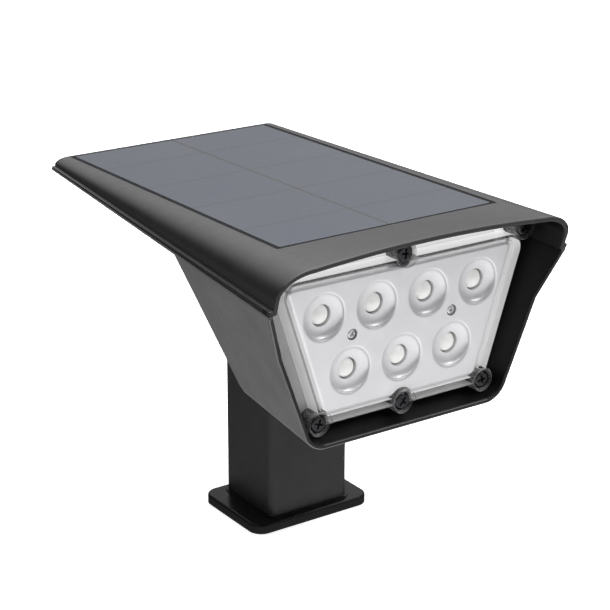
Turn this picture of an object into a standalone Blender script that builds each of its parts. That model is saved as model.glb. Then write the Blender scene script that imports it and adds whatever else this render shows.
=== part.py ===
"""Solar flood light on a short square post.

Metres, +Z up. The origin is the centre of the foot's underside, the lamp looks along -Y
and the solar panel lies on top. Run: blender --background --python part.py
"""
import math

import bmesh
import bpy
from mathutils import Matrix, Vector

MM = 0.001
GAP = 0.3 * MM                  # clearance left between two pieces that touch
REACH = 5 * MM                  # how far a cutter runs past what it cuts

# Foot and post
FOOT_WIDTH = 48.0 * MM
FOOT_DEPTH = 35.4 * MM
FOOT_THICK = 3.6 * MM
FOOT_CORNER = 5.0 * MM
POST_WIDTH = 32.2 * MM
POST_DEPTH = 29.6 * MM
POST_WALL = 1.8 * MM
POST_CORNER = 2.6 * MM
POST_TOP = 80.0 * MM
PLUG_LENGTH = 14.0 * MM         # how far the foot's spigot and the knuckle reach into the post
KNUCKLE_CAP = 2.6 * MM
LOCK_SCREW_INSET = 8.0 * MM     # from the post's end to its lock screw

# Pivot between post and head
PIVOT_Z = 92.0 * MM
PIVOT_RADIUS = 7.5 * MM
PIVOT_BOLT = 5.0 * MM
TONGUE_HALF = 5.4 * MM
EAR_THICK = 3.5 * MM
EAR_ROOT = 11.0 * MM            # half the length of an ear where it meets the case
WASHER_THICK = 1.0 * MM
BOLT_HEAD_HEIGHT = 3.0 * MM
NUT_HEIGHT = 4.0 * MM
NUT_RADIUS = 4.6 * MM

# Case: plan and lip
CASE_FRONT_Y = -75.9 * MM
CASE_BACK_Y = 76.6 * MM
CASE_FRONT_HALF = 57.5 * MM
CASE_BACK_HALF = 48.3 * MM
LIP_FRONT_Z = 103.9 * MM
LIP_BACK_Z = 111.9 * MM
PARTING_RISE = 1.1 * MM         # the parting line's height above the lip's lower edge
BAND_FRONT = 2.8 * MM           # height of the lip's band at the front and at the back
BAND_BACK = 1.5 * MM
BAND_PROUD_FRONT = 1.2 * MM
BAND_PROUD_BACK = 1.2 * MM
CASE_WALL = 1.8 * MM

# Top cover
DECK_FRONT_Z = 118.3 * MM       # the deck's height at the panel's front edge and at its back edge
DECK_BACK_Z = 116.1 * MM
SHOULDER_FRONT = 43.8 * MM      # where the deck turns down into the shoulder
SHOULDER_BACK = 41.6 * MM
SHOULDER_DROP_FRONT = 8.5 * MM
SHOULDER_DROP_BACK = 2.4 * MM
VISOR_RISE = 2.2 * MM           # the crown that the visor adds at its front edge
VISOR_FRONT_Y = -81.2 * MM
SHOULDER_STEPS = 7
DECK_STEPS = 5

# Solar panel
PANEL_FRONT_WIDTH = 82.2 * MM   # the panel narrows a little towards the back, like the case
PANEL_BACK_WIDTH = 79.8 * MM
PANEL_FRONT_Y = -57.1 * MM
PANEL_LENGTH = 131.5 * MM
PANEL_THICK = 1.6 * MM
PANEL_SEAM = 1.5 * MM           # width of the recess round the panel, which the gasket fills
PANEL_BACK_SEAM = 1.2 * MM      # the same behind the panel
GASKET_SINK = 0.1 * MM          # from the deck down to the gasket's top
TUB_FLOOR = 1.2 * MM

# Lamp body
RIM_BOTTOM_Z = 54.2 * MM
RIM_BOTTOM_Y = -69.3 * MM
RIM_KINK_Z = 87.9 * MM
RIM_KINK_Y = -70.7 * MM
RIM_TOP_Z = 120.0 * MM
RIM_HALF = 37.8 * MM
SIDE_LEAN = 0.38
SIDE_TAPER = 0.095
BOTTOM_RISE = 0.075
BACK_LOW_Y = -23.2 * MM
BACK_LOW_Z = 62.0 * MM
BACK_LEAN = 0.32
BOTTOM_CORNER = 8.0 * MM
BACK_CORNER = 6.0 * MM
LAMP_WALL = 1.8 * MM
BULKHEAD_THICK = 2.0 * MM
BELLY_DROP = 2.0 * MM           # how far the case's underside hangs below the lip
BELLY_MARGIN = 4.5 * MM
CAVITY_MARGIN = 12.0 * MM       # from the case's side to its inner hollow, with room for screws
CAVITY_BACK_Y = 54.0 * MM

# Lens, reflector and LEDs, from the front backwards
LENS_FRONT_Y = -67.7 * MM
LENS_THICK = 2.0 * MM
LENS_WALL = 1.8 * MM
LENS_RAISE = 6.5 * MM
LENS_LOW_Z = 61.2 * MM
LENS_HIGH_Z = 109.8 * MM
LENS_LOW_HALF = 31.8 * MM
LENS_HIGH_HALF = 47.7 * MM
LENS_CORNER = 4.5 * MM
FLANGE_MARGIN = 3.2 * MM
FLANGE_THICK = 2.0 * MM
GASKET_THICK = 1.2 * MM
BOSS_RADIUS = 4.1 * MM
BOSS_SINK = 1.1 * MM            # from the lens's front face back to a boss's rim
BOSS_EASE = 0.2 * MM            # keeps a boss's faces off the window's own
BOSS_TOP_Z = 114.0 * MM         # the upper bosses are flattened under the visor
HEAD_SEAT = 2.4 * MM
LENS_SCREW_LOW = (32.5 * MM, 61.6 * MM)
LENS_SCREW_HIGH = (48.1 * MM, 111.0 * MM)
LENS_SCREW_LENGTH = 12.0 * MM
REFLECTOR_THICK = 4.5 * MM
REFLECTOR_MARGIN = 0.5 * MM     # from the lens's inner wall to the reflector's edge
CUP_RADIUS = 7.65 * MM
CUP_THROAT = 3.6 * MM
CUP_STEPS = 4
CUP_SIDES = 24
LED_PITCH = 20.0 * MM
LED_ROW_HIGH_Z = 96.0 * MM
LED_ROW_LOW_Z = 76.5 * MM
LED_SIZE = 3.5 * MM
LED_THICK = 1.0 * MM
BOARD_THICK = 1.2 * MM
PLATE_SCREW = (19.5 * MM, 88.2 * MM)
SOCKET_LENGTH = 6.0 * MM        # screw sockets behind the bulkhead
SOCKET_WALL = 1.9 * MM
WIRE_HOLE = 4.0 * MM

# Screws: shank radius, head radius, head height
LENS_SCREW = (1.5 * MM, 3.0 * MM, 1.8 * MM)
PLATE_SCREW_SIZE = (1.0 * MM, 1.6 * MM, 1.2 * MM)
CASE_SCREW = (1.1 * MM, 2.2 * MM, 1.5 * MM)
LOCK_SCREW = (1.5 * MM, 2.8 * MM, 1.8 * MM)
PLATE_SCREW_LENGTH = 12.0 * MM
CASE_SCREW_LENGTH = 2.3 * MM
CASE_SCREW_SINK = 1.7 * MM      # depth of the pocket that hides a case screw's head
LOCK_SCREW_LENGTH = 8.0 * MM
CASE_SCREW_YS = (14.0 * MM, 62.0 * MM)
CASE_SCREW_INSET = 8.2 * MM
COVER_BOSS_RADIUS = 2.7 * MM
SCREW_SIDES = 12

# Battery and boards
CELL_RADIUS = 9.2 * MM
CELL_LENGTH = 65.0 * MM
CELL_Y = -42.3 * MM
CELL_Z = 78.5 * MM
HOLDER_WALL = 1.3 * MM
HOLDER_END = 1.5 * MM
HOLDER_RIB_X = 22.0 * MM
CONTACT_THICK = 0.6 * MM
CONTACT_SIZE = 9.0 * MM
CONTROL_WIDTH = 48.0 * MM
CONTROL_FRONT_Y = 16.0 * MM
CONTROL_LENGTH = 30.0 * MM
CONTROL_LIFT = 0.6 * MM

# Mode button, on the lamp's underside
BUTTON_Y = -42.0 * MM
BUTTON_RADIUS = 5.5 * MM
BUTTON_PROUD = 1.4 * MM
BUTTON_TRAVEL = 0.9 * MM
BUTTON_COLLAR = 1.3 * MM
BUTTON_COLLAR_THICK = 1.0 * MM
BEZEL_RADIUS = 8.4 * MM
BEZEL_THICK = 0.6 * MM
SWITCH_SIZE = 6.0 * MM
SWITCH_HEIGHT = 3.0 * MM
PLUNGER_RADIUS = 1.6 * MM
PLUNGER_HEIGHT = 0.7 * MM
SWITCH_BOARD_WIDTH = 23.0 * MM
SWITCH_BOARD_DEPTH = 11.0 * MM
SWITCH_POST_RADIUS = 2.2 * MM
SWITCH_POST_X = 9.0 * MM

# Heights and depths that follow from the driving dimensions
FLANGE_BACK_Y = LENS_FRONT_Y + LENS_RAISE + FLANGE_THICK
FLANGE_FRONT_Y = FLANGE_BACK_Y - FLANGE_THICK
BULKHEAD_FRONT_Y = FLANGE_BACK_Y + GASKET_THICK + 2 * GAP
BULKHEAD_BACK_Y = BULKHEAD_FRONT_Y + BULKHEAD_THICK
REFLECTOR_FRONT_Y = LENS_FRONT_Y + LENS_THICK + GAP
REFLECTOR_BACK_Y = REFLECTOR_FRONT_Y + REFLECTOR_THICK
LED_BOARD_FRONT_Y = REFLECTOR_BACK_Y + GAP
HEAD_SEAT_Y = LENS_FRONT_Y + BOSS_SINK + HEAD_SEAT
PANEL_BACK_Y = PANEL_FRONT_Y + PANEL_LENGTH
POST_FOOT_Z = FOOT_THICK + GAP
EAR_INNER_X = TONGUE_HALF + GAP
EAR_OUTER_X = EAR_INNER_X + EAR_THICK
WASHER_OUTER_X = EAR_OUTER_X + GAP + WASHER_THICK
HEAD_INNER_X = WASHER_OUTER_X + GAP


# ---------------------------------------------------------------- scene and materials
def new_collection(name):
    collection = bpy.data.collections.new(name)
    bpy.context.scene.collection.children.link(collection)
    return collection


for old in list(bpy.data.objects):
    bpy.data.objects.remove(old, do_unlink=True)
PARTS = new_collection("solar_flood_light")
CUTTERS = new_collection("cutters")


def material(name, colour, roughness, metallic=0.0):
    """A Principled material of one colour."""
    made = bpy.data.materials.new(name)
    made.use_nodes = True
    shader = made.node_tree.nodes["Principled BSDF"]
    shader.inputs["Base Color"].default_value = (*colour, 1.0)
    shader.inputs["Roughness"].default_value = roughness
    shader.inputs["Metallic"].default_value = metallic
    return made


BLACK_PLASTIC = material("black_plastic", (0.035, 0.035, 0.037), 0.55)
CLEAR_PLASTIC = material("clear_plastic", (0.85, 0.87, 0.88), 0.08)
SILVER_PLATE = material("silver_plate", (0.80, 0.80, 0.81), 0.32, 0.9)
SOLAR_CELLS = material("solar_cells", (0.10, 0.11, 0.15), 0.30)
BLACK_RUBBER = material("black_rubber", (0.02, 0.02, 0.02), 0.75)
BLACK_STEEL = material("black_steel", (0.05, 0.05, 0.055), 0.35, 0.8)
BRIGHT_STEEL = material("bright_steel", (0.62, 0.62, 0.63), 0.30, 1.0)
WHITE_BOARD = material("white_board", (0.80, 0.81, 0.80), 0.50)
GREEN_BOARD = material("green_board", (0.05, 0.22, 0.10), 0.45)
LED_RESIN = material("led_resin", (0.90, 0.80, 0.30), 0.35)
CELL_WRAP = material("cell_wrap", (0.08, 0.22, 0.50), 0.40)


# ---------------------------------------------------------------- solids
def shelve(tool):
    """Keep a cutter out of the model."""
    for home in list(tool.users_collection):
        home.objects.unlink(tool)
    CUTTERS.objects.link(tool)
    tool.hide_render = True
    tool.display_type = "WIRE"


def boolean(target, tool, operation):
    change = target.modifiers.new(operation.lower(), "BOOLEAN")
    change.operation = operation
    change.solver = "EXACT"
    change.object = tool
    shelve(tool)


def cut(target, *tools):
    for tool in tools:
        boolean(target, tool, "DIFFERENCE")


def join(target, *tools):
    for tool in tools:
        boolean(target, tool, "UNION")


def gather(name, tools):
    """One cutter made of several that don't touch each other."""
    bm = bmesh.new()
    for tool in tools:
        piece = tool.data.copy()
        piece.transform(tool.matrix_world)
        bm.from_mesh(piece)
        bpy.data.meshes.remove(piece)
        bpy.data.objects.remove(tool, do_unlink=True)
    return object_from(bm, name)


def object_from(bm, name):
    mesh = bpy.data.meshes.new(name)
    bm.to_mesh(mesh)
    bm.free()
    made = bpy.data.objects.new(name, mesh)
    PARTS.objects.link(made)
    return made


def block(name, corner, radius=None, segments=4):
    """A six-sided solid. corner(sx, sy, sz) places each corner, and radius(a, b) rounds the edge
    between the corners with signs a and b."""
    bm = bmesh.new()
    bmesh.ops.create_cube(bm, size=2)
    signs = {vert: tuple(round(c) for c in vert.co) for vert in bm.verts}
    biggest = 0.0
    if radius:
        weight = bm.edges.layers.float.new("bevel_weight_edge")
        rounding = {edge: radius(signs[edge.verts[0]], signs[edge.verts[1]]) for edge in bm.edges}
        biggest = max(rounding.values())
        for edge, size in rounding.items():
            edge[weight] = size / biggest
    for vert, sign in signs.items():
        vert.co = corner(*sign)
    made = object_from(bm, name)
    if biggest:
        bevel = made.modifiers.new("rounding", "BEVEL")
        bevel.limit_method = "WEIGHT"
        bevel.width = biggest
        bevel.segments = segments
    made.modifiers.new("flat_faces", "TRIANGULATE")
    return made


def box(name, low, high, radius=None, segments=4):
    """A straight box between two corners."""
    def corner(*signs):
        return [low[i] if signs[i] < 0 else high[i] for i in range(3)]
    return block(name, corner, radius, segments)


def upright_edges(size):
    """Rounds the edges that run along Z."""
    return lambda a, b: size if a[2] != b[2] else 0.0


def cylinder(name, radius, start, end, sides=24, end_radius=None):
    """A cylinder or cone between two points."""
    start = Vector(start)
    run = Vector(end) - start
    bm = bmesh.new()
    bmesh.ops.create_cone(bm, cap_ends=True, segments=sides, radius1=radius, depth=run.length,
                          radius2=radius if end_radius is None else end_radius)
    turn = Vector((0, 0, 1)).rotation_difference(run).to_matrix().to_4x4()
    bm.transform(Matrix.Translation(start + run / 2) @ turn)
    made = object_from(bm, name)
    made.data.shade_smooth()
    made.data.set_sharp_from_angle(angle=math.radians(35))
    return made


def turned(name, profile, centre, direction, steps=SCREW_SIDES):
    """A solid turned about the line through centre along direction. profile lists (radius,
    height) from its top on the axis, down the outside, to its bottom on the axis."""
    bm = bmesh.new()
    verts = [bm.verts.new((radius, 0, height)) for radius, height in profile]
    for a, b in zip(verts, verts[1:]):
        bm.edges.new((a, b))
    made = object_from(bm, name)
    screw = made.modifiers.new("turn", "SCREW")
    screw.steps = steps
    screw.render_steps = steps
    screw.use_merge_vertices = True
    screw.merge_threshold = 0.00001
    screw.use_smooth_shade = True
    turn = Vector((0, 0, 1)).rotation_difference(Vector(direction))
    made.matrix_world = Matrix.Translation(centre) @ turn.to_matrix().to_4x4()
    return made


def slab(name, outline, start, end, normal="Y"):
    """A flat outline given thickness from start to end along the normal axis. The outline's
    points are (x, z) for normal Y and (y, z) for normal X."""
    curve = bpy.data.curves.new(name, "CURVE")
    curve.dimensions = "2D"
    curve.fill_mode = "BOTH"
    curve.extrude = (end - start) / 2
    spline = curve.splines.new("POLY")
    spline.points.add(len(outline) - 1)
    for point, place in zip(spline.points, outline):
        point.co = (place[0], place[1], 0, 1)
    spline.use_cyclic_u = True
    drawn = bpy.data.objects.new(name + "_curve", curve)
    PARTS.objects.link(drawn)
    middle = (start + end) / 2
    if normal == "Y":
        drawn.matrix_world = Matrix.Translation((0, middle, 0)) @ Matrix.Rotation(math.pi / 2, 4, "X")
    else:
        turn = Matrix(((0, 0, 1), (1, 0, 0), (0, 1, 0))).to_4x4()
        drawn.matrix_world = Matrix.Translation((middle, 0, 0)) @ turn
    bpy.context.view_layer.update()
    graph = bpy.context.evaluated_depsgraph_get()
    mesh = bpy.data.meshes.new_from_object(drawn.evaluated_get(graph))
    bm = bmesh.new()
    bm.from_mesh(mesh)
    bmesh.ops.remove_doubles(bm, verts=bm.verts, dist=0.00001)
    bm.to_mesh(mesh)
    bm.free()
    made = bpy.data.objects.new(name, mesh)
    PARTS.objects.link(made)
    made.matrix_world = drawn.matrix_world
    bpy.data.objects.remove(drawn, do_unlink=True)
    bpy.data.curves.remove(curve)
    return made


def loft(name, rings):
    """A solid skinned over closed rings of equal length, capped at both ends."""
    bm = bmesh.new()
    rows = [[bm.verts.new(point) for point in ring] for ring in rings]
    count = len(rows[0])
    for near, far in zip(rows, rows[1:]):
        for i in range(count):
            j = (i + 1) % count
            bm.faces.new((near[i], near[j], far[j], far[i]))
    bm.faces.new(reversed(rows[0]))
    bm.faces.new(rows[-1])
    bmesh.ops.recalc_face_normals(bm, faces=bm.faces)
    bmesh.ops.triangulate(bm, faces=bm.faces)
    made = object_from(bm, name)
    made.data.shade_smooth()
    made.data.set_sharp_from_angle(angle=math.radians(30))
    return made


def rounded(corners, radii, steps=4):
    """An outline with an arc at each corner."""
    points = []
    count = len(corners)
    for i, (corner, radius) in enumerate(zip(corners, radii)):
        here = Vector(corner)
        before = (Vector(corners[i - 1]) - here).normalized()
        after = (Vector(corners[(i + 1) % count]) - here).normalized()
        half = before.angle(after) / 2
        centre = here + (before + after).normalized() * (radius / math.sin(half))
        start = here + before * (radius / math.tan(half)) - centre
        sweep = math.pi - 2 * half
        if before.x * after.y - before.y * after.x > 0:
            sweep = -sweep
        for step in range(steps + 1):
            turn = Matrix.Rotation(sweep * step / steps, 2)
            points.append(tuple(centre + turn @ start))
    return points


def screw(name, centre, direction, size, length, finish, body):
    """A pan-head screw whose head's seat is at centre, with its shank running along direction."""
    shank, head, height = size
    bevel = height * 0.35
    profile = [(0, -height), (head - bevel, -height), (head, -height + bevel), (head, 0),
               (shank, 0), (shank, length), (0, length)]
    profile = [(radius, -depth) for radius, depth in profile]
    made = turned(name, profile, centre, -Vector(direction))
    top = Vector(centre) - Vector(direction) * height
    slot = shank * 0.28
    arm = head * 0.55
    sink = height * 0.55
    turn = Vector((0, 0, 1)).rotation_difference(-Vector(direction)).to_matrix().to_4x4()
    for number, (across, along) in enumerate(((arm, slot), (slot, arm))):
        recess = box(f"{name}_recess_{number}", (-across, -along, -sink), (across, along, sink))
        recess.matrix_world = Matrix.Translation(top) @ turn
        cut(made, recess)
    keep(made, finish, body)


# ---------------------------------------------------------------- bodies
def pivot_empty(name, place, parent=None):
    """An empty on a joint's axis, which carries a moving body's pieces."""
    empty = bpy.data.objects.new(name, None)
    PARTS.objects.link(empty)
    empty.location = place
    if parent:
        empty.parent = parent
        empty.matrix_parent_inverse = parent.matrix_world.inverted()
    bpy.context.view_layer.update()
    return empty


def keep(piece, finish, body):
    """Give a finished piece its material and the body that carries it."""
    piece.data.materials.clear()
    piece.data.materials.append(finish)
    bpy.context.view_layer.update()
    place = piece.matrix_world.copy()
    piece.parent = body
    piece.matrix_parent_inverse = body.matrix_world.inverted()
    piece.matrix_world = place


# ---------------------------------------------------------------- case surfaces
def along_case(y, front, back):
    """A value that changes evenly from the case's front to its back."""
    return front + (back - front) * (y - CASE_FRONT_Y) / (CASE_BACK_Y - CASE_FRONT_Y)


def case_half(y):
    return along_case(y, CASE_FRONT_HALF, CASE_BACK_HALF)


def lip_z(y):
    return along_case(y, LIP_FRONT_Z, LIP_BACK_Z)


def deck_z(y):
    """Height of the flat deck that the panel lies in."""
    return DECK_FRONT_Z + (DECK_BACK_Z - DECK_FRONT_Z) * (y - PANEL_FRONT_Y) / PANEL_LENGTH


def ceiling_z(y):
    """Underside of the tub that holds the panel."""
    return deck_z(y) - PANEL_THICK - GAP - TUB_FLOOR


def panel_half(y):
    """Half the panel's width at y."""
    back = (y - PANEL_FRONT_Y) / PANEL_LENGTH
    return (PANEL_FRONT_WIDTH + (PANEL_BACK_WIDTH - PANEL_FRONT_WIDTH) * back) / 2


def panel_layer(name, margin, front, back, top, bottom):
    """A layer with the panel's outline moved out by margin, between two heights above the deck."""
    def corner(sx, sy, sz):
        y = front if sy < 0 else back
        return (sx * (panel_half(y) + margin), y, deck_z(y) + (bottom if sz < 0 else top))
    return block(name, corner)


def visor_rise(y):
    """The crown that grows from the panel's front edge to the visor's edge."""
    reach = (PANEL_FRONT_Y - y) / (PANEL_FRONT_Y - VISOR_FRONT_Y)
    return VISOR_RISE * max(0.0, reach)


def cover_ring(y, inset=0.0, ceiling=None, bottom=None):
    """The top cover's section at y, moved in by inset and held under a ceiling."""
    half = case_half(y)
    skirt = half - along_case(y, BAND_PROUD_FRONT, BAND_PROUD_BACK)
    band = lip_z(y) + along_case(y, BAND_FRONT, BAND_BACK)
    shoulder = along_case(y, SHOULDER_FRONT, SHOULDER_BACK)
    drop = along_case(y, SHOULDER_DROP_FRONT, SHOULDER_DROP_BACK)
    deck = deck_z(y)
    low = lip_z(y) + PARTING_RISE + GAP / 2 if bottom is None else bottom
    side = [(half, low), (half, band - 0.3 * MM), (half - 0.3 * MM, band), (skirt, band)]
    if inset:
        side = [(skirt - inset, low)]
    for step in range(SHOULDER_STEPS + 1):
        turn = math.pi / 2 * step / SHOULDER_STEPS
        side.append((shoulder + (skirt - inset - shoulder) * math.cos(turn),
                     deck - drop + (drop - inset) * math.sin(turn)))
    for step in range(1, DECK_STEPS + 1):
        across = 1 - step / DECK_STEPS
        side.append((shoulder * across, deck - inset + visor_rise(y) * (1 - across * across)))
    if ceiling is not None:
        side = [(x, min(z, ceiling)) for x, z in side]
    other = [(-x, z) for x, z in reversed(side[:-1])]
    return [Vector((x, y, z)) for x, z in side + other]


def rim_cutter(name, margin=40 * MM):
    """Everything in front of the rim: the lamp's front edge stands up, then leans forward."""
    lean = (VISOR_FRONT_Y - RIM_KINK_Y) / (RIM_TOP_Z - RIM_KINK_Z)
    over = RIM_TOP_Z + margin
    under = RIM_BOTTOM_Z - margin
    front = VISOR_FRONT_Y - margin
    stand = (RIM_KINK_Y - RIM_BOTTOM_Y) / (RIM_KINK_Z - RIM_BOTTOM_Z)
    outline = [(front, under), (RIM_BOTTOM_Y - stand * margin, under), (RIM_KINK_Y, RIM_KINK_Z),
               (VISOR_FRONT_Y + lean * margin, over), (front, over)]
    reach = CASE_FRONT_HALF + margin
    return slab(name, outline, -reach, reach, "X")


# ---------------------------------------------------------------- top cover and panel
def case_screw_seat():
    """Height of a case screw's seat above the lip."""
    return CASE_SCREW_SINK - BELLY_DROP


def case_screw_places():
    return [(side * (case_half(y) - CASE_SCREW_INSET), y) for y in CASE_SCREW_YS for side in (-1, 1)]


def make_top_cover(head):
    stations = [CASE_FRONT_Y - 12 * MM, VISOR_FRONT_Y, CASE_FRONT_Y, -67 * MM, PANEL_FRONT_Y,
                -20 * MM, 25 * MM, CASE_BACK_Y]
    cover = loft("top_cover", [cover_ring(y) for y in stations])
    under = 20 * MM
    front = [CASE_FRONT_Y - 3 * REACH, VISOR_FRONT_Y, -70 * MM, PANEL_FRONT_Y - PANEL_SEAM - TUB_FLOOR]
    cut(cover, loft("visor_hollow", [cover_ring(y, CASE_WALL, None, lip_z(y) - under) for y in front]))
    rear = [PANEL_FRONT_Y - 4 * MM, -20 * MM, 20 * MM, CAVITY_BACK_Y]
    cut(cover, loft("case_hollow",
                    [cover_ring(y, CASE_WALL + GAP, ceiling_z(y), lip_z(y) - under) for y in rear]))
    bosses = []
    for x, y in case_screw_places():
        foot = lip_z(y) + PARTING_RISE + GAP
        bosses.append(cylinder("cover_boss", COVER_BOSS_RADIUS, (x, y, foot), (x, y, ceiling_z(y) + GAP)))
    join(cover, gather("cover_bosses", bosses))
    cut(cover, panel_layer("panel_recess", PANEL_SEAM, PANEL_FRONT_Y - PANEL_SEAM,
                           PANEL_BACK_Y + PANEL_BACK_SEAM, REACH, -PANEL_THICK - GAP))
    hole_y = PANEL_FRONT_Y + 25 * MM
    holes = [cylinder("lead_hole", WIRE_HOLE / 2, (0, hole_y, ceiling_z(hole_y) - REACH),
                      (0, hole_y, deck_z(hole_y) + REACH), 16)]
    for x, y in case_screw_places():
        end = lip_z(y) + case_screw_seat() + CASE_SCREW_LENGTH + GAP
        holes.append(cylinder("pilot", CASE_SCREW[0] + GAP, (x, y, lip_z(y)), (x, y, end), 12))
    cut(cover, gather("cover_holes", holes), rim_cutter("cover_rim_cut"))
    keep(cover, BLACK_PLASTIC, head)


def make_panel(head):
    keep(panel_layer("solar_panel", 0.0, PANEL_FRONT_Y, PANEL_BACK_Y, 0.0, -PANEL_THICK), SOLAR_CELLS, head)
    gasket = panel_layer("panel_gasket", PANEL_SEAM - GAP, PANEL_FRONT_Y - PANEL_SEAM + GAP,
                         PANEL_BACK_Y + PANEL_BACK_SEAM - GAP, -GASKET_SINK, -PANEL_THICK)
    cut(gasket, panel_layer("gasket_middle", GAP, PANEL_FRONT_Y - GAP, PANEL_BACK_Y + GAP, REACH, -REACH))
    keep(gasket, BLACK_RUBBER, head)


# ---------------------------------------------------------------- lower housing
def lamp_half(y, z):
    """Half the lamp body's outer width."""
    return RIM_HALF + SIDE_LEAN * (z - RIM_BOTTOM_Z) - SIDE_TAPER * (y - RIM_BOTTOM_Y)


def lamp_bottom(y):
    return RIM_BOTTOM_Z + BOTTOM_RISE * (y - RIM_BOTTOM_Y)


def lamp_back(z):
    return BACK_LOW_Y + BACK_LEAN * (z - BACK_LOW_Z)


def lamp_block(name, inset, front, back=None, top=None):
    """The lamp body's outer shape moved in by inset, from front to back."""
    open_corner = math.tan((math.pi / 2 - math.atan(SIDE_LEAN)) / 2)

    def corner(sx, sy, sz):
        y = front if sy < 0 else (back if back is not None else lamp_back(BACK_LOW_Z) - inset)
        z = lamp_bottom(y) + inset
        if sz > 0:
            z = top if top is not None else lip_z(y) + PARTING_RISE / 2
            if sy > 0 and back is None:
                y = lamp_back(z) - inset
        elif sy > 0 and back is None:
            y = lamp_back(z) - inset
        return (sx * (lamp_half(y, z) - inset), y, z)

    def radius(a, b):
        if a[2] != b[2]:
            size = BACK_CORNER if a[1] > 0 and back is None else 0.0
        elif a[2] > 0:
            size = 0.0
        elif a[1] != b[1]:
            return max(0.0, BOTTOM_CORNER - inset) * open_corner
        else:
            size = BACK_CORNER if a[1] > 0 and back is None else 0.0
        return max(0.0, size - inset)
    return block(name, corner, radius)


def case_layer(name, margin, low, high, front=CASE_FRONT_Y, back=CASE_BACK_Y):
    """A layer of the case between two heights above the lip."""
    def corner(sx, sy, sz):
        y = front if sy < 0 else back
        return (sx * (case_half(y) - margin), y, lip_z(y) + (low if sz < 0 else high))
    return block(name, corner)


def ear_outline():
    root = lip_z(0) - BELLY_DROP / 2
    points = [(EAR_ROOT, root), (-EAR_ROOT, root)]
    for step in range(13):
        turn = math.pi + math.pi * step / 12
        points.append((PIVOT_RADIUS * math.cos(turn), PIVOT_Z + PIVOT_RADIUS * math.sin(turn)))
    return points


def lens_screw_places():
    low_x, low_z = LENS_SCREW_LOW
    high_x, high_z = LENS_SCREW_HIGH
    return {"lens_screw_low_left": (-low_x, low_z), "lens_screw_low_middle": (0, low_z),
            "lens_screw_low_right": (low_x, low_z), "lens_screw_high_left": (-high_x, high_z),
            "lens_screw_high_middle": (0, high_z), "lens_screw_high_right": (high_x, high_z)}


def button_frame():
    """Local frame of the button: origin on the lamp's underside, +Z pointing inwards."""
    slope = math.atan(BOTTOM_RISE)
    place = Vector((0, BUTTON_Y, lamp_bottom(BUTTON_Y)))
    return Matrix.Translation(place) @ Matrix.Rotation(slope, 4, "X")


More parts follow.
